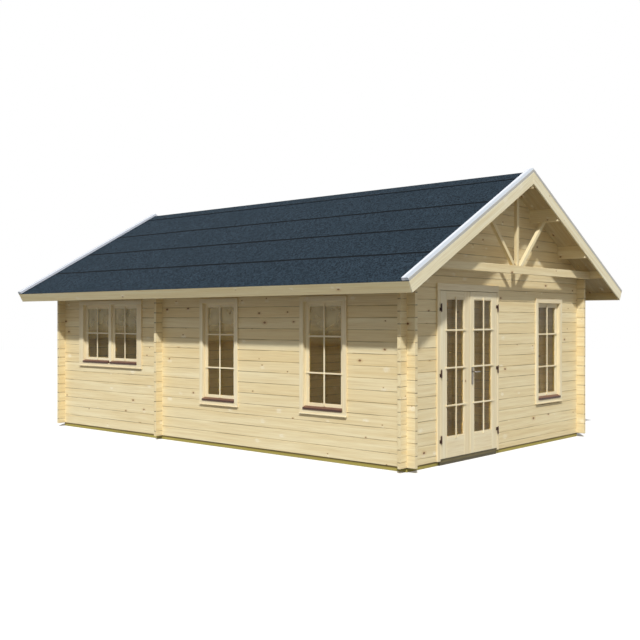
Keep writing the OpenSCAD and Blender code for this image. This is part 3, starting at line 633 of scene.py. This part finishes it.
def prism(solid, ease):
    """Rings of a prism along y: the outline set in at both faces and whole between them."""
    whole, rim = outline_of(solid), inset(outline_of(solid), ease)
    y0, y1 = solid[:, 1].min(), solid[:, 1].max()
    rows = [(rim, y0), (whole, y0 + ease), (whole, y1 - ease), (rim, y1)]
    return np.array([np.insert(ring, 1, y, axis=1) for ring, y in rows])


def skin(rings, start=0):
    """Faces over rows of closed rings, with a cap on both ends, for rings that turn from x towards z."""
    rows, columns = rings.shape[:2]
    index = start + np.arange(rows * columns).reshape(rows, columns)
    ahead = np.roll(index, -1, axis=1)
    quads = np.stack([index[:-1], ahead[:-1], ahead[1:], index[1:]], axis=-1)[..., ::-1].reshape(-1, 4)
    return quads.tolist() + [index[0].tolist(), index[-1, ::-1].tolist()]


def joined(shapes):
    """Points and faces of several shapes, each of them rows of closed rings, as one mesh."""
    starts = np.cumsum([0] + [rings[..., 0].size for rings in shapes])
    faces = [face for rings, start in zip(shapes, starts) for face in skin(rings, start)]
    return np.concatenate([rings.reshape(-1, 3) for rings in shapes]), faces


def timbers(material, slot, along_of, *nodes, ease=0.003):
    """All prisms of a node as one piece; along_of gives the grain's direction from a solid's points."""
    for node in nodes:
        shapes, grain = [], []
        for solid in solids_of(node):
            rings = prism(solid, ease)
            flat = rings.reshape(-1, 3)
            along = along_of(solid)
            across = np.cross(along, [0, 1, 0]) if abs(along[1]) < 0.5 else np.array([1.0, 0, 0])
            number = rng.random()
            sideways = flat @ across + flat @ np.cross(along, across) + OWN_TREE * number
            grain.append(np.stack([flat @ along, sideways, np.full(len(flat), number)], axis=1))
            shapes.append(rings)
        make_piece(node + "_timbers", *joined(shapes), material, slot,
                   replaces=[node], grain=np.concatenate(grain))


def along_ridge(solid):
    """Grain along the ridge."""
    return np.array([0.0, 1.0, 0.0])


def along_outline(solid):
    """Grain along the longest edge of the outline."""
    outline = outline_of(solid)
    edge = np.roll(outline, -1, axis=0) - outline
    longest = edge[np.argmax(np.linalg.norm(edge, axis=1))]
    return np.array([longest[0], 0, longest[1]]) / np.linalg.norm(longest)


log_timber = finish("spruce_timbers", wood, carried_grain, **LOG_TONES)
# The barge boards take paler tones than the other spruce: painted light, for the sun on their faces.
barge_wood = finish("spruce_barge_boards", wood, carried_grain, "#F8F0D0", "#EADBB0", "#ECD8A8")
fascia_wood = finish("spruce_fascia_boards", wood, carried_grain, "#F1E4B8", "#E4CF9A", "#E6CC93")
timbers(log_timber, "log_wood", along_ridge, "ridge_purlin", "upper_purlins", "lower_purlins")
timbers(log_timber, "log_wood", along_outline, "tie_beam", "king_post", "truss_struts")
timbers(fascia_wood, "trim_wood", along_ridge, "fascia_left", "fascia_right")
timbers(barge_wood, "trim_wood", along_outline, "front_barge_boards", "back_barge_boards")

# %% [markdown]
# Roofing felt is bitumen sheet with crushed slate pressed into its face. It is laid in courses
# from the eave up. Each course lies on the one below, and its lower edge shows as a dark,
# slightly wandering line of bitumen, with painted shade under the edge.
# The sheets are a closed section carried along the ridge. The section's corners come from the felt's solid,
# extra points beside each lap carry the line, and slow waves along the ridge make the edges wander.
# From where the camera stands a real line of 10 mm would vanish, so it is drawn about twice as wide.

# %% Felt courses
FELT_T = 0.005
EAVE_T = 0.003
LINE_W = 0.022
SOFT = 0.004
SWAY = 0.004
LAP_DROP = 0.03
ROW_STEP = 0.06
WAVES = np.array([1.9, 0.83, 0.31])
BLOTCHES, GRANULES = 55.0, 330.0  # to a metre


def wander(rows, kinds):
    """Slow waves along the ridge, one for each kind of edge: the mean of three sines of unlike lengths."""
    phase = rng.uniform(0, 2 * np.pi, (kinds.max() + 1, 3))[kinds]
    return np.sin(2 * np.pi * rows[:, None, None] / WAVES + phase).mean(axis=2)


def felt_sheet(name, ring, tar, drift, kinds, end, place, replaces):
    """A ring of corners carried along y; each drifts with the wave of its kind, and carries its share of the
    dark lap edge: bitumen and painted shade.
    """
    rows = np.linspace(-end, end, round(2 * end / ROW_STEP) + 1)
    moved = ring + drift * wander(rows, kinds)[..., None]
    along = np.broadcast_to(rows[:, None, None], moved.shape[:2] + (1,))
    rings = np.concatenate([moved[..., :1], along, moved[..., 1:]], axis=2)
    carried = np.zeros_like(rings)
    carried[..., 2] = tar
    return make_piece(name, place(rings.reshape(-1, 3)), skin(rings), felt, "roofing_felt",
                      replaces=[replaces], grain=carried.reshape(-1, 3))


def mineral_felt(add):
    """Slate granules on bitumen: cells of many greys, broad clouds and a rough, dull face.

    Granules are 1 or 2 mm across. Cells of 3 mm stand for them, and cells of 18 mm for the blotches
    that the eye sees from where the camera stands.
    """
    place = add("TexCoord", out="Object")
    grit = add("TexVoronoi", {"Vector": place, "Scale": BLOTCHES}, out="Color")
    grey = add("SeparateColor", [grit])
    fine = add("TexNoise", {"Vector": place, "Scale": 90.0, "Detail": 2.0})
    share = add("MapRange", [fine, 0.35, 0.65, -0.3, 0.3], clamp=False)
    share = add("Math ADD", [grey, share])
    granule = add("TexVoronoi", {"Vector": place, "Scale": GRANULES}, out="Color")
    granule = add("MapRange", {0: add("SeparateColor", [granule]), 3: -0.35, 4: 0.35})
    share = add("Math ADD", [share, granule], use_clamp=True)
    colour = add("Mix", {0: share, 6: linear("#040F18"), 7: linear("#303F4B")}, **RGBA)
    cloud = add("TexNoise", {"Vector": place, "Scale": 1.6, "Detail": 4.0})
    cloud_share = add("MapRange", [cloud, 0.35, 0.7, 0.0, 0.35])
    colour = add("Mix", {0: cloud_share, 6: colour, 7: linear("#1A2832")}, **RGBA)
    tar = add("SeparateXYZ", [add("Attribute", out="Vector", attribute_name="grain")], out="Z")
    # The dark lap lines: bitumen, and painted shade under each lap edge.
    colour = add("Mix", {0: tar, 6: colour, 7: linear("#0D1318")}, **RGBA)
    bump = add("Bump", {"Height": share, "Strength": 0.3, "Distance": 0.003})
    return add("BsdfPrincipled", {
        "Base Color": colour, "Roughness": 0.9, "Specular IOR Level": 0.12, "Normal": bump,
    })


felt = finish("slate_mineral_felt", mineral_felt)
felt_corners = np.unique(solids_of("felt_right")[0][:, [0, 2]].round(5), axis=0)
felt_down = (felt_corners - ridge_edge[[0, 2]]) @ DOWN[[0, 2]]
felt_above = (felt_corners - ridge_edge[[0, 2]]) @ UP[[0, 2]]
bed, eave = felt_above.min(), felt_down.max()
laps = np.sort(felt_down[felt_above > bed + 1.5 * FELT_T])[::-1] + LAP_DROP
at_ridge = np.argsort(felt_corners[:, 0])[:2]
ridge_low, ridge_top = at_ridge[np.argsort(felt_above[at_ridge])]
# Each lap carries a dark strip, mostly on the course below its edge: bitumen and painted shade.
lap_down = np.array([LINE_W + SOFT, LINE_W, SOFT, 0, -SOFT, -2 * SOFT])
lap_above = np.array([1, 1, 1.2, 2, 2, 2]) * FELT_T
lap_tar = np.array([0, 1, 1, 1, 1, 0])
lap_corners = np.broadcast_arrays(laps[:, None] + lap_down, bed + lap_above)
section = np.concatenate([
    [[felt_down[ridge_low], bed], [eave, bed], [eave, bed + EAVE_T]],
    np.stack(lap_corners, axis=2).reshape(-1, 2),
    [[felt_down[ridge_top], felt_above[ridge_top]]],
])
tar = np.concatenate([[0, 0, 0], np.tile(lap_tar, len(laps)), [0]])
drift = np.concatenate([[0, 0, 0], np.full(6 * len(laps), SWAY), [0]])[:, None] * [1, 0]
kinds = np.concatenate([[0, 0, 0], 1 + np.repeat(np.arange(len(laps)), 6), [0]])
for side in ("left", "right"):
    felt_sheet("felt_courses_" + side, section, tar, drift, kinds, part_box("felt_right")[1].y,
               lambda points, side=side: on_slope(points, side), "felt_" + side)
print("laps", laps.round(3), "m down the slope")

# %% [markdown]
# One last strip is folded over the ridge and covers the upper edges of both slopes. The fold is soft,
# so its peak is three points instead of one.

# %% Ridge felt
FOLD = 0.03
cap_points = np.unique(solids_of("ridge_cap")[0][:, [0, 2]].round(5), axis=0)
peak = cap_points[np.abs(cap_points[:, 0]) < 0.001]
right_edge = cap_points[cap_points[:, 0] > 0.1]
under_edge, upper_edge = right_edge[np.argsort(right_edge @ UP[[0, 2]])]
steps = np.array([0, LINE_W, LINE_W + SOFT])
upper = upper_edge - steps[:, None] * DOWN[[0, 2]]
fold = peak[1] + [[FOLD * DOWN[0], FOLD * DOWN[2]], [FOLD / 3 * DOWN[0], FOLD / 2 * DOWN[2]]]
flip = np.array([-1, 1])
cap_ring = np.concatenate([
    [under_edge * flip, peak[0], under_edge], upper, fold, fold[::-1] * flip, upper[::-1] * flip,
])
# The ridge felt's lower edges carry the same dark strip of bitumen and painted shade.
cap_tar = np.array([1, 0, 1, 1, 1, 0, 0, 0, 0, 0, 0, 1, 1])
cap_drift = np.zeros((13, 2))
cap_drift[[2, 3, 4, 5]] = SWAY * DOWN[[0, 2]]
cap_drift[[0, 10, 11, 12]] = SWAY * DOWN[[0, 2]] * flip
cap_kinds = np.array([1, 0, 0, 0, 0, 0, 0, 0, 0, 0, 1, 1, 1])
felt_sheet("ridge_felt", cap_ring, cap_tar, cap_drift, cap_kinds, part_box("ridge_cap")[1].y,
           lambda points: points, "ridge_cap")

# %% [markdown]
# The verge trim is thin coated sheet, folded over the edge of the felt. Its cover catches the sky, and
# painted shade greys it along its front. The leg that hangs down is painted in a greyer tone of shade.
# The lower ends of the folds are closed by small plugs.

# %% Verge trim
TRIM_SHEET = 0.003
TRIM_BEVEL = 0.012
PLUG_T = 0.002
PLUG_FIT = 0.0003
SOIL_ENDS = (0.045, 0.07)
verge_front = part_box("front_verge_trim")[0].y


def coated_sheet(add):
    """Pale coating on folded sheet: nearly white beside the felt, with painted shade towards the front and on
    the part that hangs down.
    """
    place = add("TexCoord", out="Object")
    y = add("SeparateXYZ", [place], out="Y")
    out = add("Math ABSOLUTE", [y])
    behind = add("Math SUBTRACT", [-verge_front, out])
    cloud = add("TexNoise", {"Vector": place, "Scale": 2.5, "Detail": 3.0})
    edge = add("Math MULTIPLY_ADD", [cloud, 0.02, behind])
    # Painted shade greys the front of the cover.
    soil = add("MapRange", [edge, *SOIL_ENDS, 0.8, 0.0], **SMOOTH)
    colour = add("Mix", {0: soil, 6: linear("#DADEE8"), 7: linear("#AEB6BD")}, **RGBA)
    # Painted shade on the upright face at the front.
    leg = add("Math LESS_THAN", [behind, 0.001])
    colour = add("Mix", {0: leg, 6: colour, 7: linear("#BDBAB2")}, **RGBA)
    fleck = add("TexNoise", {"Vector": place, "Scale": 160.0, "Detail": 1.0})
    bump = add("Bump", {"Height": fleck, "Strength": 0.05, "Distance": 0.0004})
    return add("BsdfPrincipled", {"Base Color": colour, "Roughness": 0.4, "Normal": bump})


trim = finish("coated_folded_sheet", coated_sheet)
finish_nodes(trim, "front_verge_trim", "back_verge_trim")

trim_points = np.concatenate(solids_of("front_verge_trim"))
trim_top = float(((trim_points - ridge_edge) @ UP).max())
trim_w = float(np.ptp(trim_points[:, 1]))
gap = TRIM_SHEET + PLUG_FIT
foot = bed + 2 * FELT_T + PLUG_FIT
plug = np.array([
    [trim_w - gap, foot], [trim_w - gap, trim_top - gap], [TRIM_BEVEL + 2 * gap, trim_top - gap],
    [gap, trim_top - TRIM_BEVEL - 2 * gap], [gap, foot],
])
plugs = []
for side in ("left", "right"):
    for end in (1, -1):
        outline = plug if end > 0 else plug[::-1]
        rows = np.array([eave - PLUG_FIT, eave - PLUG_FIT - PLUG_T])
        ring = np.stack([end * (verge_front + outline[:, 0]), outline[:, 1]], axis=1)
        rings = np.stack([np.insert(ring, 0, s, axis=1) for s in rows])
        plugs.append(on_slope(rings.reshape(-1, 3), side).reshape(rings.shape))
make_piece("verge_trim_plugs", *joined(plugs), trim, "verge_trim")

# %% [markdown]
# Weather bars and the threshold are a dark stained hardwood that takes the water and the feet.
# Painted light turns what faces up to a pinkish grey, the upright faces stay dark, and painted shade makes
# the threshold's foot darkest, under the door leaves.

# %% Dark hardwood
STREAKS = (9, 9, 160)  # to a metre
WORN_FACING = (0.1, 0.5)
DAMP_FADE = 0.005


def hardwood(add, light, dark, bleached, damp_z):
    """Stained hardwood: level streaks of two browns with a satin oil finish.

    Painted light makes it paler where the face looks up, and painted shade darkens it below a given height.
    """
    place = add("TexCoord", out="Object")
    stretched = add("VectorMath MULTIPLY", [place, STREAKS])
    streak = add("TexNoise", {"Vector": stretched, "Scale": 1.0, "Detail": 3.0})
    share = add("MapRange", [streak, 0.35, 0.7])
    colour = add("Mix", {0: share, 6: linear(light), 7: linear(dark)}, **RGBA)
    # Painted light: faces that look up are paler.
    facing = add("SeparateXYZ", [add("NewGeometry", out="Normal")], out="Z")
    worn = add("MapRange", [facing, *WORN_FACING, 0.0, 0.8])
    colour = add("Mix", {0: worn, 6: colour, 7: linear(bleached)}, **RGBA)
    # Painted shade below the given height, at the threshold's foot under the door leaves.
    z = add("SeparateXYZ", [place], out="Z")
    damp = add("MapRange", [z, damp_z - DAMP_FADE, damp_z + DAMP_FADE, 0.7, 0.0])
    colour = add("Mix", {0: damp, 6: colour, 7: linear("#2C2612")}, **RGBA)
    bump = add("Bump", {"Height": streak, "Strength": 0.2, "Distance": 0.001})
    return add("BsdfPrincipled", {"Base Color": colour, "Roughness": 0.5, "Normal": bump})


red_hardwood = finish("oiled_red_hardwood", hardwood, "#4A2618", "#351A11", "#74503F", damp_z=0.0)
olive_hardwood = finish("oiled_olive_hardwood", hardwood, "#6E6230", "#574A20", "#83774A", damp_z=0.034)
finish_nodes(red_hardwood, "weather_bars")
finish_nodes(olive_hardwood, "door_threshold")
print("hardwood on the sills and the threshold")

# %% [markdown]
# The panes look warm and dark, because the wooden rooms behind them are. The glass itself is nearly clear,
# and takes a little of that warmth as a tint. It mirrors less than bare glass would, like a coated pane.
# A greyer tint on the upper panes, and a pale layer on those of the side windows, are a painted reflection.

# %% Glass
DUST = 0.035
VEIL = 0.3
DUST_FROM = (1.35, 1.60)


def float_glass(add, veil):
    """Float glass with a warm tint and faint waves, under a thin layer of dust.

    The second value is the share of a pale layer on the upper panes: dust, and where it is more than DUST, a
    painted reflection; the rest keeps DUST. The upper panes are tinted greyer, also a painted reflection.
    """
    place = add("TexCoord", out="Object")
    wave = add("TexNoise", {"Vector": place, "Scale": 5.0, "Detail": 1.0})
    bump = add("Bump", {"Height": wave, "Strength": 0.04, "Distance": 0.01})
    cloud = add("MapRange", [wave, 0.3, 0.7])
    tint = add("Mix", {0: cloud, 6: linear("#FFEDB8"), 7: linear("#F6E2A9")}, **RGBA)
    z = add("SeparateXYZ", [place], out="Z")
    # Painted reflection: the upper panes get a greyer tint and a paler layer.
    sheltered = add("MapRange", [z, *DUST_FROM])
    tint = add("Mix", {0: sheltered, 6: tint, 7: linear("#F2E8C8")}, **RGBA)
    film = add("MapRange", {0: sheltered, 3: DUST, 4: veil})
    uneven = add("MapRange", {0: cloud, 3: 0.75, 4: 1.25})
    film = add("Math MULTIPLY", [film, uneven])
    clear = add("Math SUBTRACT", [1.0, film])
    return add("BsdfPrincipled", {
        "Base Color": tint, "Roughness": 0.01, "IOR": 1.16, "Transmission Weight": clear, "Normal": bump,
    })


front_glass = finish("coated_float_glass", float_glass, DUST)
side_glass = finish("dusty_float_glass", float_glass, VEIL)
finish_nodes(front_glass, "left_door_glass", "right_door_glass", "front_window_glass")
finish_nodes(side_glass, "side_window_glass")

# %% [markdown]
# Hinges are steel with a dark brown coating, and the handle is brushed stainless steel.

# %% Metal
def metal(add, light, dark, metallic, rough, brush):
    """Metal with fine brush marks or coating grain: stretched noise in two tones and in the shine."""
    place = add("TexCoord", out="Object")
    stretched = add("VectorMath MULTIPLY", [place, brush])
    marks = add("TexNoise", {"Vector": stretched, "Scale": 1.0, "Detail": 2.0})
    colour = add("Mix", {0: marks, 6: linear(dark), 7: linear(light)}, **RGBA)
    shine = add("MapRange", [marks, 0.3, 0.7, rough - 0.05, rough + 0.08])
    bump = add("Bump", {"Height": marks, "Strength": 0.1, "Distance": 0.0005})
    return add("BsdfPrincipled", {
        "Base Color": colour, "Metallic": metallic, "Roughness": shine, "Normal": bump,
    })


COAT_GRAIN = (400, 400, 400)
BRUSH_MARKS = (60, 900, 900)
hinge_metal = finish("brown_coated_steel", metal, "#4A3022", "#38241A", 0.0, 0.45, COAT_GRAIN)
handle_steel = finish("brushed_stainless_steel", metal, "#9A958C", "#7C776E", 1.0, 0.4, BRUSH_MARKS)
finish_nodes(hinge_metal, "left_leaf_hinges", "right_leaf_hinges", "frame_hinges")
finish_nodes(handle_steel, "handle_plates")

# %% [markdown]
# Small hardware is turned on a lathe: the hinge pins end in finials, the plates are held by domed screws,
# and a lock cylinder sits below the lever. Each is one profile of radius and height, spun about its axis.

# %% Turned hardware
FINIAL = [
    (0.0060, 0), (0.0060, 0.002), (0.0045, 0.0032), (0.0062, 0.0065), (0.0052, 0.0098), (0.0022, 0.0118),
]
SCREW = [(0.0042, 0), (0.0042, 0.0006), (0.0030, 0.0014), (0.0010, 0.0017)]
CYLINDER = [
    (0.0085, 0), (0.0085, 0.0024), (0.0076, 0.0030), (0.0050, 0.0030), (0.0046, 0.0024), (0.0010, 0.0024),
]
BARREL_R = 0.008
AROUND = np.linspace(0, 2 * np.pi, 14, endpoint=False)[:, None]


def turned(name, places, axis, profile, material, slot, body):
    """Shapes of revolution: a point is its place, plus height along the axis, plus radius round it."""
    axis = np.array(axis, float)
    radius, height = np.array(profile).T
    first = np.roll(axis, 1)
    second = np.cross(axis, first)
    around = np.cos(AROUND) * first - np.sin(AROUND) * second
    spun = radius[:, None, None] * around + height[:, None, None] * axis
    shapes = np.asarray(places)[:, None, None, :] + spun
    return make_piece(name, *joined(shapes), material, slot, body=body, smooth=True)


for side in ("left", "right"):
    low, high = boxes_of(side + "_leaf_hinges")
    pin_x = low[:, 0] + BARREL_R if side == "left" else high[:, 0] - BARREL_R
    tops = np.stack([pin_x, low[:, 1] + BARREL_R, high[:, 2]], axis=1)
    turned(side + "_upper_finials", tops, (0, 0, 1), FINIAL, hinge_metal, "hinge_metal", side + "_leaf")
    low, high = boxes_of("frame_hinges")
    here = np.abs(low[:, 0] + high[:, 0] - 2 * pin_x[0]) < 0.1
    feet = np.stack([np.full(here.sum(), pin_x[0]), low[here, 1] + BARREL_R, low[here, 2]], axis=1)
    turned(side + "_lower_finials", feet, (0, 0, -1), FINIAL, hinge_metal, "hinge_metal", "cabin")

plate_low, plate_high = boxes_of("handle_plates")
outer_first = np.argsort(plate_low[:, 1])
SCREW_IN = 0.014
LOCK_DROP = 0.072
lever_low, lever_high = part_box("lever_handle")
lever_z = (lever_low.z + lever_high.z) / 2
PLATES = (("outer", outer_first[0], -1), ("inner", outer_first[1], 1))
for kind, number, out in PLATES:
    low, high = plate_low[number], plate_high[number]
    face = low[1] if out < 0 else high[1]
    middle = (low[0] + high[0]) / 2
    screws = [[middle, face, low[2] + SCREW_IN], [middle, face, high[2] - SCREW_IN]]
    turned(kind + "_plate_screws", screws, (0, out, 0), SCREW, handle_steel, "handle_steel", "right_leaf")
    lock = [[middle, face, lever_z - LOCK_DROP]]
    turned(kind + "_lock_cylinder", lock, (0, out, 0), CYLINDER, handle_steel, "handle_steel", "right_leaf")

# %% [markdown]
# The lever is bent from one bar. It leaves the plate square, turns through a short arc, grows oval along
# the grip and curls slightly back to a rounded tip. An oval carried along that path makes it,
# once for each side of the leaf.

# %% Lever
BEND_R = 0.018
CURL = 0.004
NECK_R = 0.0085
NECK_FIT = 0.0005
GRIP = (0.0062, 0.0078)
TIP = 0.008
TIP_CLEAR = 0.001


def lever_path(reach, length):
    """Stations of the bar: metres along the leaf, metres out from the plate, and the oval's half widths."""
    turn = np.linspace(0, np.pi / 2, 8)
    neck = np.stack([np.zeros(3), np.linspace(NECK_FIT, reach - BEND_R, 4)[:3]], axis=1)
    arc = np.stack([BEND_R * (1 - np.cos(turn)), reach - BEND_R * (1 - np.sin(turn))], axis=1)
    grip_x = np.linspace(BEND_R, length - TIP, 9)[1:]
    tip_x = length - TIP * (1 - np.sin(np.linspace(0, 1.45, 5)[1:]))
    arm_x = np.concatenate([grip_x, tip_x])
    curl = CURL * ((arm_x - BEND_R) / (length - BEND_R)) ** 2
    path = np.concatenate([neck, arc, np.stack([arm_x, reach - curl], axis=1)])
    oval = np.clip((path[:, :1] - 0.5 * BEND_R) / BEND_R, 0, 1)
    half = NECK_R + oval * (np.array(GRIP) - NECK_R)
    short = np.sqrt(np.clip(1 - ((path[:, 0] - length + TIP) / TIP).clip(0) ** 2, 0.01, 1))
    return path, half * short[:, None]


def swept(centre, half):
    """Ovals square to a level path: centre + a cos(t) n + b sin(t) up, with n level and square to it."""
    along = np.gradient(centre, axis=0)
    along /= np.linalg.norm(along, axis=1)[:, None]
    level = np.stack([along[:, 1], -along[:, 0], 0 * along[:, 0]], axis=1)
    up = np.array([0.0, 0.0, 1.0])
    wide = half[:, 0, None, None] * np.cos(AROUND) * level[:, None, :]
    return centre[:, None, :] + wide + half[:, 1, None, None] * np.sin(AROUND) * up


spindle_x = float(plate_low[0, 0] + plate_high[0, 0]) / 2
bars = []
for _, number, out in PLATES:
    face = plate_low[number, 1] if out < 0 else plate_high[number, 1]
    tip_y = lever_low.y if out < 0 else lever_high.y
    path, half = lever_path(abs(tip_y - face) - GRIP[0] - TIP_CLEAR, lever_high.x - spindle_x)
    centre = np.stack([spindle_x + path[:, 0], face + out * path[:, 1], np.full(len(path), lever_z)], axis=1)
    bars.append(swept(centre, half))
make_piece("lever_bar", *joined(bars), handle_steel, "handle_steel",
           body="lever", replaces=["lever_handle"], smooth=True)

SPINDLE_HALF = 0.0031
SPINDLE_OUT = 0.004
across = spindle_x - SPINDLE_HALF, spindle_x + SPINDLE_HALF
through = plate_low[:, 1].min() - SPINDLE_OUT, plate_high[:, 1].max() + SPINDLE_OUT
spindle = strip(0, across, through, (lever_z - SPINDLE_HALF, lever_z + SPINDLE_HALF))
boards("lever_spindle", *spindle, handle_steel, "handle_steel", ease=0.0008, body="lever")

# %% [markdown]
# The key light is a small source at the upper left, in front, and a pale sky fills in. Both are set so that
# a colour renders about as it is written. The floor is plain and pale, and far away it fades to white.

# %% Light, floor and background
KEY_DIRECTION = Vector((0.775, 0.599, -1.0))
KEY_STRENGTH = 3.38
KEY_ANGLE = math.radians(2.5)
SKY_STRENGTH = 0.4
WHITE = (1, 1, 1, 1)

key = bpy.data.objects.new("key_light", bpy.data.lights.new("key_light", "SUN"))
key.data.energy = KEY_STRENGTH
key.data.angle = KEY_ANGLE
key.rotation_mode = "QUATERNION"
key.rotation_quaternion = KEY_DIRECTION.to_track_quat("-Z", "Y")
bpy.context.scene.collection.objects.link(key)


def seen_directly(add):
    """One for rays from the camera and for mirrored or glazed views, nought for light that bounces."""
    path = add("LightPath").node.outputs
    seen = add("Math MAXIMUM", [path["Is Camera Ray"], path["Is Glossy Ray"]])
    return add("Math MAXIMUM", [seen, path["Is Transmission Ray"]])


world = bpy.data.worlds.new("white_studio")
world.use_nodes = True
world.node_tree.nodes.clear()
add = partial(add_node, world.node_tree)
sky = add("MapRange", {0: seen_directly(add), 3: SKY_STRENGTH, 4: 1.0})
sky = add("Background", {"Color": WHITE, "Strength": sky})
add("OutputWorld", {"Surface": sky})
bpy.context.scene.world = world

FLOOR_HALF = 300.0
FLOOR_GREY = (0.16, 0.16, 0.16, 1)
FADE = (14.0, 40.0)


def studio_floor(add):
    """A matt floor that bounces little light and turns to plain white between the two distances of FADE."""
    direct = seen_directly(add)
    tone = add("Mix", {0: direct, 6: FLOOR_GREY, 7: WHITE}, **RGBA)
    matt = add("BsdfDiffuse", {"Color": tone})
    white = add("Emission", {"Color": WHITE})
    distance = add("VectorMath LENGTH", [add("TexCoord", out="Object")], out="Value")
    far = add("MapRange", [distance, *FADE], **SMOOTH)
    far = add("Math MULTIPLY", [far, direct])
    return add("MixShader", [far, matt, white])


floor_mesh = bpy.data.meshes.new("studio_floor")
corners = [(x * FLOOR_HALF, y * FLOOR_HALF, 0.0) for x, y in ROUND]
floor_mesh.from_pydata(corners, [], [[0, 1, 2, 3]])
floor_mesh.materials.append(finish("pale_studio_floor", studio_floor))
floor = bpy.data.objects.new("studio_floor", floor_mesh)
bpy.context.scene.collection.objects.link(floor)
floor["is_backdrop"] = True
print("key", KEY_STRENGTH, "sky", SKY_STRENGTH)

# %% [markdown]
# The box that the dressed cabin fills is measured at the end. The dressed cabin has to stay inside
# the box of its construction.

# %% Sizes and the end
low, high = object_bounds()
